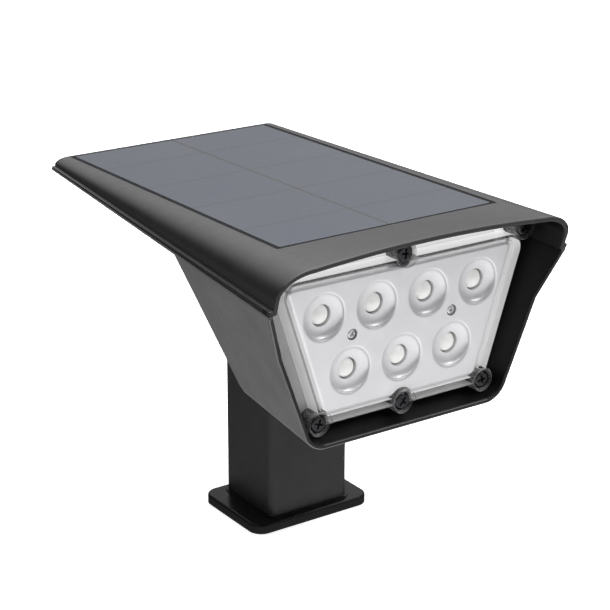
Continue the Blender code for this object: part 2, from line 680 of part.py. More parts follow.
def make_lower_housing(head):
    housing = lamp_block("lower_housing", 0.0, RIM_BOTTOM_Y - 22 * MM)
    join(housing, case_layer("case_flange", 0.0, 0.0, PARTING_RISE - GAP / 2))
    join(housing, case_layer("case_belly", BELLY_MARGIN, -BELLY_DROP, PARTING_RISE / 2,
                             back=CASE_BACK_Y - BELLY_MARGIN, front=lamp_back(LIP_FRONT_Z) - REACH))
    cut(housing, lamp_block("front_hollow", LAMP_WALL, RIM_BOTTOM_Y - 25 * MM, BULKHEAD_FRONT_Y,
                            RIM_TOP_Z))
    cut(housing, lamp_block("lamp_hollow", LAMP_WALL, BULKHEAD_BACK_Y, None, RIM_TOP_Z))
    floor = LAMP_WALL - BELLY_DROP
    cut(housing, case_layer("belly_hollow", CAVITY_MARGIN, floor, REACH,
                            lamp_back(LIP_FRONT_Z) - REACH, CAVITY_BACK_Y))
    bulkhead_z = ceiling_z(BULKHEAD_FRONT_Y) - GAP
    low_z = LIP_FRONT_Z - 3 * MM

    def bulkhead_corner(sx, sy, sz):
        y = BULKHEAD_FRONT_Y if sy < 0 else BULKHEAD_BACK_Y
        z = low_z if sz < 0 else bulkhead_z
        half = min(lamp_half(y, low_z), case_half(y) - BAND_PROUD_FRONT) - CASE_WALL - 0.4 * MM
        return (sx * half, y, z)

    def bulkhead_radius(a, b):
        return SHOULDER_DROP_FRONT - CASE_WALL if a[1] != b[1] and a[2] > 0 else 0.0
    join(housing, block("bulkhead_top", bulkhead_corner, bulkhead_radius))
    for side in (-1, 1):
        faces = sorted((side * EAR_INNER_X, side * EAR_OUTER_X))
        join(housing, slab(f"ear_{side}", ear_outline(), *faces, "X"))
        rib = side * HOLDER_RIB_X
        rib_top = CELL_Z - CELL_RADIUS - HOLDER_WALL - GAP - 0.5 * MM
        join(housing, box(f"holder_rib_{side}", (rib - 1 * MM, BULKHEAD_BACK_Y - 1 * MM, lamp_bottom(CELL_Y)),
                          (rib + 1 * MM, CELL_Y + 6 * MM, rib_top)))
        post = cylinder(f"switch_post_{side}", SWITCH_POST_RADIUS, (side * SWITCH_POST_X, 0, LAMP_WALL / 2),
                        (side * SWITCH_POST_X, 0, switch_board_base() - GAP), 16)
        post.matrix_world = button_frame()
        join(housing, post)
    sockets = [(x, z, LENS_SCREW[0], SOCKET_LENGTH) for x, z in lens_screw_places().values()]
    sockets += [(side * PLATE_SCREW[0], PLATE_SCREW[1], PLATE_SCREW_SIZE[0], SOCKET_LENGTH / 2)
                for side in (-1, 1)]
    front = BULKHEAD_FRONT_Y + BULKHEAD_THICK / 4
    join(housing, gather("sockets", [
        cylinder("socket", shank + SOCKET_WALL, (x, front, z), (x, BULKHEAD_BACK_Y + length, z), 14)
        for x, z, shank, length in sockets]))
    sockets.append((0, LED_ROW_HIGH_Z, WIRE_HOLE, 0))
    holes = [cylinder("socket_hole", shank + GAP, (x, BULKHEAD_FRONT_Y - REACH, z),
                      (x, BULKHEAD_BACK_Y + length + REACH, z), 12) for x, z, shank, length in sockets]
    holes += [cylinder("case_hole", CASE_SCREW[0] + GAP, (x, y, lip_z(y) - REACH),
                       (x, y, lip_z(y) + REACH), SCREW_SIDES)
              for x, y in case_screw_places()]
    pockets = [cylinder("case_pocket", CASE_SCREW[1] + GAP, (x, y, lip_z(y) - REACH),
                        (x, y, lip_z(y) + case_screw_seat() + GAP), SCREW_SIDES)
               for x, y in case_screw_places()]
    holes.append(cylinder("ear_bore", PIVOT_BOLT / 2 + GAP, (-EAR_OUTER_X - REACH, 0, PIVOT_Z),
                          (EAR_OUTER_X + REACH, 0, PIVOT_Z)))
    hole = cylinder("button_hole", BUTTON_RADIUS + GAP, (0, 0, -REACH), (0, 0, LAMP_WALL + 1 * MM))
    hole.matrix_world = button_frame()
    bpy.context.view_layer.update()
    holes.append(hole)
    cut(housing, gather("housing_holes", holes), gather("case_pockets", pockets),
        rim_cutter("housing_rim_cut"))
    keep(housing, BLACK_PLASTIC, head)


# ---------------------------------------------------------------- lens and light
def lens_outline(margin):
    """The raised window's outline in (x, z), moved outwards by margin."""
    lean = (LENS_HIGH_HALF - LENS_LOW_HALF) / (LENS_HIGH_Z - LENS_LOW_Z)
    across = math.hypot(1, lean)
    low = LENS_LOW_Z - margin
    high = LENS_HIGH_Z + margin
    low_half = LENS_LOW_HALF + lean * (low - LENS_LOW_Z) + margin * across
    high_half = LENS_LOW_HALF + lean * (high - LENS_LOW_Z) + margin * across
    corner = max(LENS_CORNER + margin, 1.0 * MM)
    return rounded([(-low_half, low), (low_half, low), (high_half, high), (-high_half, high)],
                   [corner] * 4)


def at_lens_screws(name, radius, front, back, sides=20):
    """Cylinders along Y, one round each lens screw."""
    return gather(name, [cylinder(name, radius, (x, front, z), (x, back, z), sides)
                         for x, z in lens_screw_places().values()])


def at_plate_screws(name, radius, front, back, sides=12):
    """Cylinders along Y, one round each screw that holds the reflector."""
    x, z = PLATE_SCREW
    return gather(name, [cylinder(name, radius, (side * x, front, z), (side * x, back, z), sides)
                         for side in (-1, 1)])


def make_lens(head):
    lens = slab("lens_cover", lens_outline(0.0), LENS_FRONT_Y, FLANGE_FRONT_Y + FLANGE_THICK / 2)
    join(lens, slab("lens_flange", lens_outline(FLANGE_MARGIN), FLANGE_FRONT_Y, FLANGE_BACK_Y))
    hollow = slab("lens_hollow", lens_outline(-LENS_WALL), LENS_FRONT_Y + LENS_THICK,
                  FLANGE_BACK_Y + REACH)
    cut(hollow, at_lens_screws("boss_room", BOSS_RADIUS, LENS_FRONT_Y, 0))
    rim = LENS_FRONT_Y + BOSS_SINK
    front = LENS_FRONT_Y - REACH
    cut(lens, hollow, at_lens_screws("boss_rims", BOSS_RADIUS + BOSS_EASE, front, rim))
    join(lens, at_lens_screws("bosses", BOSS_RADIUS, rim + BOSS_EASE / 2, FLANGE_BACK_Y - BOSS_EASE / 2))
    cut(lens, at_lens_screws("boss_bores", LENS_SCREW[0] + GAP, front, FLANGE_BACK_Y + REACH, 12))
    cut(lens, at_lens_screws("boss_sinks", LENS_SCREW[1] + GAP, front, HEAD_SEAT_Y))
    cut(lens, box("boss_flats", (-CASE_FRONT_HALF, front, BOSS_TOP_Z),
                  (CASE_FRONT_HALF, FLANGE_BACK_Y + REACH, BOSS_TOP_Z + 4 * BOSS_RADIUS)))
    keep(lens, CLEAR_PLASTIC, head)

    front = FLANGE_BACK_Y + GAP
    gasket = slab("lens_gasket", lens_outline(FLANGE_MARGIN - 0.6 * MM), front, front + GASKET_THICK)
    cut(gasket, slab("gasket_window", lens_outline(-LENS_WALL), front - REACH, front + REACH))
    ease = BOSS_EASE / 4
    join(gasket, at_lens_screws("gasket_pads", BOSS_RADIUS - GAP, front + ease, front + GASKET_THICK - ease))
    cut(gasket, at_lens_screws("gasket_holes", LENS_SCREW[0] + GAP, front - REACH, front + REACH, 12))
    cut(gasket, box("pad_flats", (-CASE_FRONT_HALF, front - REACH, BOSS_TOP_Z),
                    (CASE_FRONT_HALF, front + REACH, BOSS_TOP_Z + 4 * BOSS_RADIUS)))
    keep(gasket, BLACK_RUBBER, head)

    for name, (x, z) in lens_screw_places().items():
        screw(name, (x, HEAD_SEAT_Y - GAP, z), (0, 1, 0), LENS_SCREW, LENS_SCREW_LENGTH,
              BLACK_STEEL, head)


def led_places():
    high = [((column - 1.5) * LED_PITCH, LED_ROW_HIGH_Z) for column in range(4)]
    low = [((column - 1) * LED_PITCH, LED_ROW_LOW_Z) for column in range(3)]
    return high + low


def plate_blank(name, front, back, margin):
    """A plate that fits inside the lens, cut away round the screw bosses."""
    plate = slab(name, lens_outline(-LENS_WALL - margin), front, back)
    cut(plate, at_lens_screws(name + "_notches", BOSS_RADIUS + margin, front - REACH, back + REACH))
    return plate


def cup_profile():
    """A parabolic cup, from its mouth to its throat, as (radius, height). It runs a little past the
    plate's two faces."""
    past = 0.06
    profile = []
    for step in range(CUP_STEPS + 1):
        depth = -past + (1 + 2 * past) * step / CUP_STEPS
        square = CUP_RADIUS ** 2 + (CUP_THROAT ** 2 - CUP_RADIUS ** 2) * depth
        profile.append((math.sqrt(square), -REFLECTOR_THICK * depth))
    return [(0, profile[0][1])] + profile + [(0, profile[-1][1])]


def make_light(head):
    plate = plate_blank("reflector_plate", REFLECTOR_FRONT_Y, REFLECTOR_BACK_Y, REFLECTOR_MARGIN)
    for number, (x, z) in enumerate(led_places(), 1):
        cut(plate, turned(f"cup_{number}", cup_profile(), (x, REFLECTOR_FRONT_Y, z), (0, -1, 0), CUP_SIDES))
    shank, head_radius, head_height = PLATE_SCREW_SIZE
    seat = REFLECTOR_FRONT_Y + head_height + 2 * GAP
    front = REFLECTOR_FRONT_Y - REACH
    cut(plate, at_plate_screws("plate_sinks", head_radius + GAP, front, seat))
    cut(plate, at_plate_screws("plate_holes", shank + GAP, front, REFLECTOR_BACK_Y + REACH))
    for side, label in ((-1, "left"), (1, "right")):
        screw(f"plate_screw_{label}", (side * PLATE_SCREW[0], seat - GAP, PLATE_SCREW[1]), (0, 1, 0),
              PLATE_SCREW_SIZE, PLATE_SCREW_LENGTH, BRIGHT_STEEL, head)
    keep(plate, SILVER_PLATE, head)

    back = LED_BOARD_FRONT_Y + BOARD_THICK
    board = plate_blank("led_board", LED_BOARD_FRONT_Y, back, 0.8 * MM)
    cut(board, at_plate_screws("board_holes", shank + GAP, front, back + REACH))
    keep(board, WHITE_BOARD, head)
    for number, (x, z) in enumerate(led_places(), 1):
        half = LED_SIZE / 2
        front = LED_BOARD_FRONT_Y - GAP - LED_THICK
        led = box(f"led_{number}", (x - half, front, z - half), (x + half, front + LED_THICK, z + half),
                  lambda a, b: 0.5 * MM if a[1] != b[1] else 0.0, 2)
        keep(led, LED_RESIN, head)


# ---------------------------------------------------------------- battery and boards
def make_electrics(head):
    half = CELL_LENGTH / 2
    cell = turned("battery_cell", [(0, half + 1 * MM), (3 * MM, half + 1 * MM), (3 * MM, half),
                                   (CELL_RADIUS - 0.6 * MM, half), (CELL_RADIUS, half - 0.6 * MM),
                                   (CELL_RADIUS, -half + 0.6 * MM), (CELL_RADIUS - 0.6 * MM, -half),
                                   (0, -half)], (0, CELL_Y, CELL_Z), (1, 0, 0), 24)
    keep(cell, CELL_WRAP, head)
    end = half + 1 * MM + GAP + CONTACT_THICK + GAP
    depth = CELL_RADIUS + GAP + HOLDER_WALL
    holder = box("battery_holder", (-end - HOLDER_END, CELL_Y - depth, CELL_Z - depth),
                 (end + HOLDER_END, CELL_Y + depth, CELL_Z - 1 * MM))
    cut(holder, cylinder("holder_trough", CELL_RADIUS + GAP, (-end, CELL_Y, CELL_Z),
                         (end, CELL_Y, CELL_Z)))
    keep(holder, BLACK_PLASTIC, head)
    for side, label in ((-1, "left"), (1, "right")):
        outer = side * (end - GAP)
        inner = side * (end - GAP - CONTACT_THICK)
        size = CONTACT_SIZE / 2
        low_x, high_x = sorted((outer, inner))
        contact = box(f"battery_contact_{label}", (low_x, CELL_Y - size, CELL_Z - size),
                      (high_x, CELL_Y + size, CELL_Z + size),
                      lambda a, b: 1.5 * MM if a[0] != b[0] else 0.0, 3)
        keep(contact, BRIGHT_STEEL, head)
    make_control_board(head)


def make_control_board(head):
    base = LAMP_WALL - BELLY_DROP + CONTROL_LIFT

    def layer(name, x_low, x_high, y_low, y_high, low, high):
        def corner(sx, sy, sz):
            y = y_low if sy < 0 else y_high
            return (x_low if sx < 0 else x_high, y, lip_z(y) + base + (low if sz < 0 else high))
        return block(name, corner)
    front = CONTROL_FRONT_Y
    half = CONTROL_WIDTH / 2
    board = layer("control_board", -half, half, front, front + CONTROL_LENGTH, 0, BOARD_THICK)
    chips = ((-15, -7, 6, 13, 1.2), (2, 12, 5, 12, 1.0), (-18, -10, 19, 26, 1.3), (6, 17, 18, 25, 1.0))
    for number, (x_low, x_high, y_low, y_high, tall) in enumerate(chips):
        join(board, layer(f"chip_{number}", x_low * MM, x_high * MM, front + y_low * MM,
                          front + y_high * MM, BOARD_THICK / 2, BOARD_THICK + tall * MM))
    keep(board, GREEN_BOARD, head)


# ---------------------------------------------------------------- mode button
def collar_base():
    """Where the cap's collar starts, above the outer face."""
    return LAMP_WALL + GAP


def switch_base():
    """Where the switch's body starts, so that its plunger clears the pressed cap."""
    return collar_base() + BUTTON_COLLAR_THICK + BUTTON_TRAVEL + GAP + PLUNGER_HEIGHT


def switch_board_base():
    return switch_base() + SWITCH_HEIGHT + GAP


def make_button(head, slide):
    frame = button_frame()
    top = collar_base() + BUTTON_COLLAR_THICK
    wide = BUTTON_RADIUS + BUTTON_COLLAR
    edge = 0.5 * MM
    cap = turned("button_cap", [(0, top), (wide, top), (wide, collar_base()), (BUTTON_RADIUS, collar_base()),
                                (BUTTON_RADIUS, edge - BUTTON_PROUD), (BUTTON_RADIUS - edge, -BUTTON_PROUD),
                                (0, -BUTTON_PROUD)], (0, 0, 0), (0, 0, 1), 24)
    cap.matrix_world = frame
    keep(cap, BLACK_RUBBER, slide)

    low = -GAP - BEZEL_THICK
    bezel = cylinder("button_bezel", BEZEL_RADIUS, (0, 0, low), (0, 0, -GAP))
    bezel.matrix_world = frame
    hole = cylinder("bezel_hole", BUTTON_RADIUS + GAP, (0, 0, low - REACH), (0, 0, REACH))
    hole.matrix_world = frame
    cut(bezel, hole)
    keep(bezel, BLACK_PLASTIC, head)

    half = SWITCH_SIZE / 2
    base = switch_base()
    switch = box("mode_switch", (-half, -half, base), (half, half, base + SWITCH_HEIGHT))
    switch.matrix_world = frame
    plunger = cylinder("switch_plunger", PLUNGER_RADIUS, (0, 0, base - PLUNGER_HEIGHT),
                       (0, 0, base + 1 * MM), 16)
    plunger.matrix_world = frame
    join(switch, plunger)
    keep(switch, BLACK_PLASTIC, head)

    base = switch_board_base()
    wide = SWITCH_BOARD_WIDTH / 2
    deep = SWITCH_BOARD_DEPTH / 2
    board = box("switch_board", (-wide, -deep, base), (wide, deep, base + BOARD_THICK),
                upright_edges(1 * MM), 2)
    board.matrix_world = frame
    keep(board, GREEN_BOARD, head)


# ---------------------------------------------------------------- pivot, post and foot
def make_post(base):
    half_x = POST_WIDTH / 2
    half_y = POST_DEPTH / 2
    tube = box("post_tube", (-half_x, -half_y, POST_FOOT_Z), (half_x, half_y, POST_TOP),
               upright_edges(POST_CORNER))
    in_x = half_x - POST_WALL
    in_y = half_y - POST_WALL
    cut(tube, box("tube_bore", (-in_x, -in_y, -REACH), (in_x, in_y, POST_TOP + REACH),
                  upright_edges(POST_CORNER - POST_WALL)))
    foot_screw_z = POST_FOOT_Z + LOCK_SCREW_INSET
    knuckle_screw_z = POST_TOP - LOCK_SCREW_INSET
    hole = LOCK_SCREW[0] + GAP
    for number, z in enumerate((foot_screw_z, knuckle_screw_z)):
        cut(tube, cylinder(f"tube_hole_{number}", hole, (0, 0, z), (0, half_y + REACH, z), 16))
    keep(tube, BLACK_PLASTIC, base)

    plug_x = in_x - GAP
    plug_y = in_y - GAP
    foot_x = FOOT_WIDTH / 2
    foot_y = FOOT_DEPTH / 2
    foot = box("foot_flange", (-foot_x, -foot_y, 0), (foot_x, foot_y, FOOT_THICK),
               lambda a, b: FOOT_CORNER if a[2] != b[2] else (0.8 * MM if a[2] > 0 else 0.0))
    join(foot, box("foot_spigot", (-plug_x, -plug_y, FOOT_THICK / 2),
                   (plug_x, plug_y, POST_FOOT_Z + PLUG_LENGTH)))
    pilot_end = half_y - LOCK_SCREW_LENGTH - 1 * MM
    cut(foot, cylinder("foot_pilot", hole, (0, pilot_end, foot_screw_z), (0, half_y, foot_screw_z), 16))
    keep(foot, BLACK_PLASTIC, base)

    cap_top = POST_TOP + GAP + KNUCKLE_CAP
    knuckle = box("post_knuckle", (-half_x, -half_y, POST_TOP + GAP), (half_x, half_y, cap_top),
                  lambda a, b: POST_CORNER if a[2] != b[2] else (0.6 * MM if a[2] > 0 else 0.0))
    join(knuckle, box("knuckle_plug", (-plug_x, -plug_y, POST_TOP - PLUG_LENGTH),
                      (plug_x, plug_y, POST_TOP + GAP + KNUCKLE_CAP / 2)))
    outline = [(-PIVOT_RADIUS - 2 * MM, cap_top - 1 * MM), (PIVOT_RADIUS + 2 * MM, cap_top - 1 * MM)]
    for step in range(13):
        turn = math.pi * step / 12
        outline.append((PIVOT_RADIUS * math.cos(turn), PIVOT_Z + PIVOT_RADIUS * math.sin(turn)))
    join(knuckle, slab("knuckle_tongue", outline, -TONGUE_HALF, TONGUE_HALF, "X"))
    cut(knuckle, cylinder("tongue_bore", PIVOT_BOLT / 2 + GAP, (-TONGUE_HALF - REACH, 0, PIVOT_Z),
                          (TONGUE_HALF + REACH, 0, PIVOT_Z)))
    cut(knuckle, cylinder("knuckle_pilot", hole, (0, pilot_end, knuckle_screw_z),
                          (0, half_y, knuckle_screw_z), 16))
    keep(knuckle, BLACK_PLASTIC, base)

    for name, z in (("foot_lock_screw", foot_screw_z), ("knuckle_lock_screw", knuckle_screw_z)):
        screw(name, (0, half_y + GAP, z), (0, -1, 0), LOCK_SCREW, LOCK_SCREW_LENGTH, BLACK_STEEL, base)


def make_pivot(base):
    radius = PIVOT_BOLT / 2
    head = 4.3 * MM
    end = HEAD_INNER_X + NUT_HEIGHT + 0.5 * MM
    profile = [(0, BOLT_HEAD_HEIGHT), (head * 0.6, BOLT_HEAD_HEIGHT), (head * 0.92, BOLT_HEAD_HEIGHT * 0.6),
               (head, 0), (radius, 0), (radius, -HEAD_INNER_X - end), (0, -HEAD_INNER_X - end)]
    bolt = turned("pivot_bolt", profile, (-HEAD_INNER_X, 0, PIVOT_Z), (-1, 0, 0), 20)
    socket = cylinder("bolt_socket", 1.6 * MM, (-HEAD_INNER_X - BOLT_HEAD_HEIGHT - REACH, 0, PIVOT_Z),
                      (-HEAD_INNER_X - BOLT_HEAD_HEIGHT / 2, 0, PIVOT_Z), 6)
    cut(bolt, socket)
    keep(bolt, BRIGHT_STEEL, base)
    nut = cylinder("pivot_nut", NUT_RADIUS, (HEAD_INNER_X, 0, PIVOT_Z),
                   (HEAD_INNER_X + NUT_HEIGHT, 0, PIVOT_Z), 6)
    cut(nut, cylinder("nut_bore", radius + GAP, (HEAD_INNER_X - REACH, 0, PIVOT_Z),
                      (HEAD_INNER_X + NUT_HEIGHT + REACH, 0, PIVOT_Z)))
    keep(nut, BRIGHT_STEEL, base)
    for side, label in ((-1, "left"), (1, "right")):
        near = side * (EAR_OUTER_X + GAP)
        far = side * WASHER_OUTER_X
        washer = cylinder(f"pivot_washer_{label}", NUT_RADIUS + 0.6 * MM, (near, 0, PIVOT_Z),
                          (far, 0, PIVOT_Z))
        cut(washer, cylinder(f"washer_bore_{label}", radius + GAP, (near - side * REACH, 0, PIVOT_Z),
                             (far + side * REACH, 0, PIVOT_Z)))
        keep(washer, BRIGHT_STEEL, base)


def make_case_screws(head):
    for (x, y), label in zip(case_screw_places(), ("front_left", "front_right", "rear_left", "rear_right")):
        seat = lip_z(y) + case_screw_seat()
        screw(f"case_screw_{label}", (x, y, seat), (0, 0, 1), CASE_SCREW, CASE_SCREW_LENGTH,
              BLACK_STEEL, head)


def main():
    base = pivot_empty("base", (0, 0, 0))
    head = pivot_empty("head_pivot", (0, 0, PIVOT_Z), base)
    slide = pivot_empty("button_slide", button_frame().translation, head)
    make_post(base)
    make_pivot(base)
    make_lower_housing(head)
    make_top_cover(head)
    make_panel(head)
    make_lens(head)
    make_light(head)
    make_electrics(head)
    make_case_screws(head)
    make_button(head, slide)


main()
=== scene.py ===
"""Looks for the solar flood light: detailed shells, lens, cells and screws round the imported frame.

Metres, +Z up, in the frame of the CAD. The lamp looks along -Y and the panel lies on top.
"""

import math

import bmesh
import bpy
from mathutils import Matrix, Vector


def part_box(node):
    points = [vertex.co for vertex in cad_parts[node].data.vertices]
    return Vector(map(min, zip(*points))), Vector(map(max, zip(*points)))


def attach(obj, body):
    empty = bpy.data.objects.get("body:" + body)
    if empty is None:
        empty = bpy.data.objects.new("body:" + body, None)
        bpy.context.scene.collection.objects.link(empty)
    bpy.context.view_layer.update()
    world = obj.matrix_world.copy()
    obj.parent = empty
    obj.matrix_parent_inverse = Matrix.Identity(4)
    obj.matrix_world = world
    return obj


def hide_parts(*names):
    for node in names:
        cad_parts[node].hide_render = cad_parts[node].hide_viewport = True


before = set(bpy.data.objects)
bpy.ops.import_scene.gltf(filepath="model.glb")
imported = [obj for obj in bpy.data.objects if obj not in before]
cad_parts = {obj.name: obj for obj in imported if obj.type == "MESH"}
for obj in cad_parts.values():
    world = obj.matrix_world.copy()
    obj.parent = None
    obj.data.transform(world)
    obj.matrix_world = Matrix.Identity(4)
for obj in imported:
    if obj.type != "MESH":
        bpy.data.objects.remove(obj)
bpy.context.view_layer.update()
MM = 0.001
GAP = 0.3 * MM                  # clearance between two pieces
REACH = 5 * MM                  # how far a cutter runs past what it cuts

# Camera
TARGET = Vector((0.0, -11.4 * MM, 77.7 * MM))
AZIMUTH = math.radians(-34.61)
ELEVATION = math.radians(19.93)
ROLL = math.radians(0.13)
DISTANCE = 632.85 * MM
SENSOR = 36.0
LENS = 110.72

# Case: plan and lip, as in the frame
CASE_FRONT_Y = -75.9 * MM
CASE_BACK_Y = 76.6 * MM
CASE_FRONT_HALF = 57.5 * MM
CASE_BACK_HALF = 48.3 * MM
LIP_FRONT_Z = 103.9 * MM
LIP_BACK_Z = 111.9 * MM
PARTING_RISE = 1.1 * MM
BAND_FRONT = 2.8 * MM
BAND_BACK = 1.5 * MM
BAND_PROUD_FRONT = 1.2 * MM
BAND_PROUD_BACK = 1.2 * MM
CASE_WALL = 1.8 * MM
DECK_FRONT_Z = 118.3 * MM
DECK_BACK_Z = 116.1 * MM
SHOULDER_FRONT = 43.8 * MM
SHOULDER_BACK = 41.8 * MM
SHOULDER_DROP_FRONT = 8.5 * MM
SHOULDER_DROP_BACK = 2.4 * MM
VISOR_RISE = 2.2 * MM
VISOR_FRONT_Y = -81.2 * MM
SHOULDER_STEPS = 18
DECK_STEPS = 10
LIP_EDGE = 0.3 * MM             # rounding of the lip's band
RIM_EDGE = 0.45 * MM            # rounding of the edge that faces the lens
POCKET_BACK_Y = 54.0 * MM

# Panel
PANEL_FRONT_WIDTH = 82.2 * MM
PANEL_BACK_WIDTH = 79.8 * MM
PANEL_FRONT_Y = -57.1 * MM
PANEL_LENGTH = 131.5 * MM
PANEL_THICK = 1.6 * MM
PANEL_SEAM = 1.5 * MM
PANEL_BACK_SEAM = 1.2 * MM
PANEL_BACK_Y = PANEL_FRONT_Y + PANEL_LENGTH
RECESS_FRONT_Y = PANEL_FRONT_Y - PANEL_SEAM
RECESS_BACK_Y = PANEL_BACK_Y + PANEL_BACK_SEAM
RECESS_DEPTH = PANEL_THICK + GAP
TUB_FLOOR = 1.2 * MM
CELL_ROWS = 9

# Lamp body
RIM_BOTTOM_Z = 54.2 * MM
RIM_BOTTOM_Y = -69.3 * MM
RIM_KINK_Z = 87.9 * MM
RIM_KINK_Y = -70.7 * MM
RIM_TOP_Z = 120.0 * MM
RIM_HALF = 37.8 * MM
SIDE_LEAN = 0.38
SIDE_TAPER = 0.095
BOTTOM_RISE = 0.075
BACK_LOW_Y = -23.2 * MM
BACK_LOW_Z = 62.0 * MM
BACK_LEAN = 0.32
BOTTOM_CORNER = 8.0 * MM
BACK_CORNER = 6.0 * MM
LAMP_WALL = 1.8 * MM
BULKHEAD_FRONT_Y = -57.4 * MM
BULKHEAD_THICK = 2.0 * MM
BELLY_DROP = 2.0 * MM
BELLY_MARGIN = 4.5 * MM
EAR_INNER_X = 5.7 * MM
EAR_OUTER_X = 9.2 * MM
EAR_ROOT = 11.0 * MM
PIVOT_Z = 92.0 * MM
PIVOT_RADIUS = 7.5 * MM
PIVOT_BOLT = 5.0 * MM
CASE_SCREW_YS = (14.0 * MM, 62.0 * MM)
CASE_SCREW_INSET = 8.2 * MM
CASE_SCREW_SINK = 1.7 * MM      # depth of the pocket that hides a case screw's head
BUTTON_Y = -42.0 * MM
BUTTON_RADIUS = 5.5 * MM

# Lens, reflector and LEDs
LENS_FRONT_Y = -67.7 * MM
LENS_THICK = 2.0 * MM
LENS_WALL = 1.8 * MM
LENS_RAISE = 6.5 * MM
LENS_LOW_Z = 61.2 * MM
LENS_HIGH_Z = 109.8 * MM
LENS_LOW_HALF = 31.8 * MM
LENS_HIGH_HALF = 47.7 * MM
LENS_CORNER = 4.5 * MM
FLANGE_MARGIN = 3.2 * MM
FLANGE_THICK = 2.0 * MM
FLANGE_FRONT_Y = LENS_FRONT_Y + LENS_RAISE
FLANGE_BACK_Y = FLANGE_FRONT_Y + FLANGE_THICK
BOSS_RADIUS = 4.1 * MM
BOSS_SINK = 1.1 * MM
BOSS_TOP_Z = 114.0 * MM
HEAD_SEAT_Y = LENS_FRONT_Y + BOSS_SINK + 2.4 * MM
LENS_SCREW_LOW = (32.5 * MM, 61.6 * MM)
LENS_SCREW_HIGH = (48.1 * MM, 111.0 * MM)
REFLECTOR_FRONT_Y = LENS_FRONT_Y + LENS_THICK + GAP
REFLECTOR_THICK = 4.5 * MM
CUP_RADIUS = 7.65 * MM
CUP_THROAT = 3.6 * MM
CUP_LIP = 0.7 * MM
LED_PITCH = 20.0 * MM
LED_ROW_HIGH_Z = 96.0 * MM
LED_ROW_LOW_Z = 76.5 * MM
REFLECTOR_MARGIN = 0.5 * MM
REFLECTOR_ROLL = 1.6 * MM       # rounding of the plate's front edge
CUP_DEPTH = 1.9 * MM
PLATE_SCREW = (19.5 * MM, 88.2 * MM)

# Foot and post
FOOT_THICK = 3.6 * MM
FOOT_CORNER = 5.0 * MM
COLLAR_WIDTH = 0.6 * MM         # ridge round the post's base
COLLAR_HEIGHT = 0.5 * MM
POST_CORNER = 2.6 * MM
POST_WALL = 1.8 * MM
TONGUE_HALF = 5.4 * MM          # half the width of the knuckle between the ears
PILOT_SPARE = 1.0 * MM          # depth of a screw's hole past its tip

# Screws: shank radius, head radius, head height
LENS_SCREW = (1.5 * MM, 3.0 * MM, 1.8 * MM)
PLATE_SCREW_SIZE = (1.0 * MM, 1.6 * MM, 1.2 * MM)
CASE_SCREW = (1.1 * MM, 2.2 * MM, 1.5 * MM)
LOCK_SCREW = (1.5 * MM, 2.8 * MM, 1.8 * MM)


# ---- camera
def make_camera():
    back = Vector((math.sin(AZIMUTH) * math.cos(ELEVATION), -math.cos(AZIMUTH) * math.cos(ELEVATION),
                   math.sin(ELEVATION)))
    data = bpy.data.cameras.new("camera")
    data.sensor_width = SENSOR
    data.lens = LENS
    data.clip_start = 0.01
    camera = bpy.data.objects.new("camera", data)
    bpy.context.scene.collection.objects.link(camera)
    turn = back.to_track_quat("Z", "Y").to_matrix().to_4x4() @ Matrix.Rotation(ROLL, 4, "Z")
    camera.matrix_world = Matrix.Translation(TARGET + back * DISTANCE) @ turn
    bpy.context.scene.camera = camera


# ---- mesh tools
def object_from(bm, name):
    mesh = bpy.data.meshes.new(name)
    bm.to_mesh(mesh)
    bm.free()
    made = bpy.data.objects.new(name, mesh)
    bpy.context.scene.collection.objects.link(made)
    return made


def settle(piece):
    """Apply a piece's modifiers."""
    bpy.context.view_layer.update()
    graph = bpy.context.evaluated_depsgraph_get()
    mesh = bpy.data.meshes.new_from_object(piece.evaluated_get(graph))
    piece.modifiers.clear()
    piece.data = mesh


def place(piece, matrix):
    """Move a piece's mesh, and leave its object at the origin."""
    piece.data.transform(matrix @ piece.matrix_world)
    piece.matrix_world = Matrix.Identity(4)
    return piece


def bevel(piece, width, segments, method="WEIGHT"):
    """Round the edges of a piece that carry a weight, or its sharp ones."""
    change = piece.modifiers.new("rounding", "BEVEL")
    change.limit_method = method
    change.angle_limit = math.radians(60)
    change.width = width
    change.segments = segments
    return change


def combine(target, operation, *tools):
    """Cut tools from the target or join them to it."""
    for tool in tools:
        change = target.modifiers.new(operation.lower(), "BOOLEAN")
        change.operation = operation
        change.solver = "EXACT"
        change.object = tool
        settle(target)
        bpy.data.objects.remove(tool, do_unlink=True)


def gather(name, tools):
    """One piece made of several that don't touch each other."""
    bm = bmesh.new()
    for tool in tools:
        settle(tool)
        tool.data.transform(tool.matrix_world)
        bm.from_mesh(tool.data)
        bpy.data.objects.remove(tool, do_unlink=True)
    return object_from(bm, name)


def block(name, corner, radius=None, segments=8):
    """A six-sided solid. corner(sx, sy, sz) places each corner, and radius(a, b) rounds the edge
    between the corners with signs a and b."""
    bm = bmesh.new()
    bmesh.ops.create_cube(bm, size=2)
    signs = {vert: tuple(round(c) for c in vert.co) for vert in bm.verts}
    biggest = 0.0
    if radius:
        weight = bm.edges.layers.float.new("bevel_weight_edge")
        rounding = {edge: radius(signs[edge.verts[0]], signs[edge.verts[1]]) for edge in bm.edges}
        biggest = max(rounding.values())
        for edge, size in rounding.items():
            edge[weight] = size / biggest if biggest else 0.0
    for vert, sign in signs.items():
        vert.co = corner(*sign)
    made = object_from(bm, name)
    if biggest:
        bevel(made, biggest, segments)
        settle(made)
    return made


def box(name, low, high, radius=None, segments=8):
    def corner(*signs):
        return [low[i] if signs[i] < 0 else high[i] for i in range(3)]
    return block(name, corner, radius, segments)


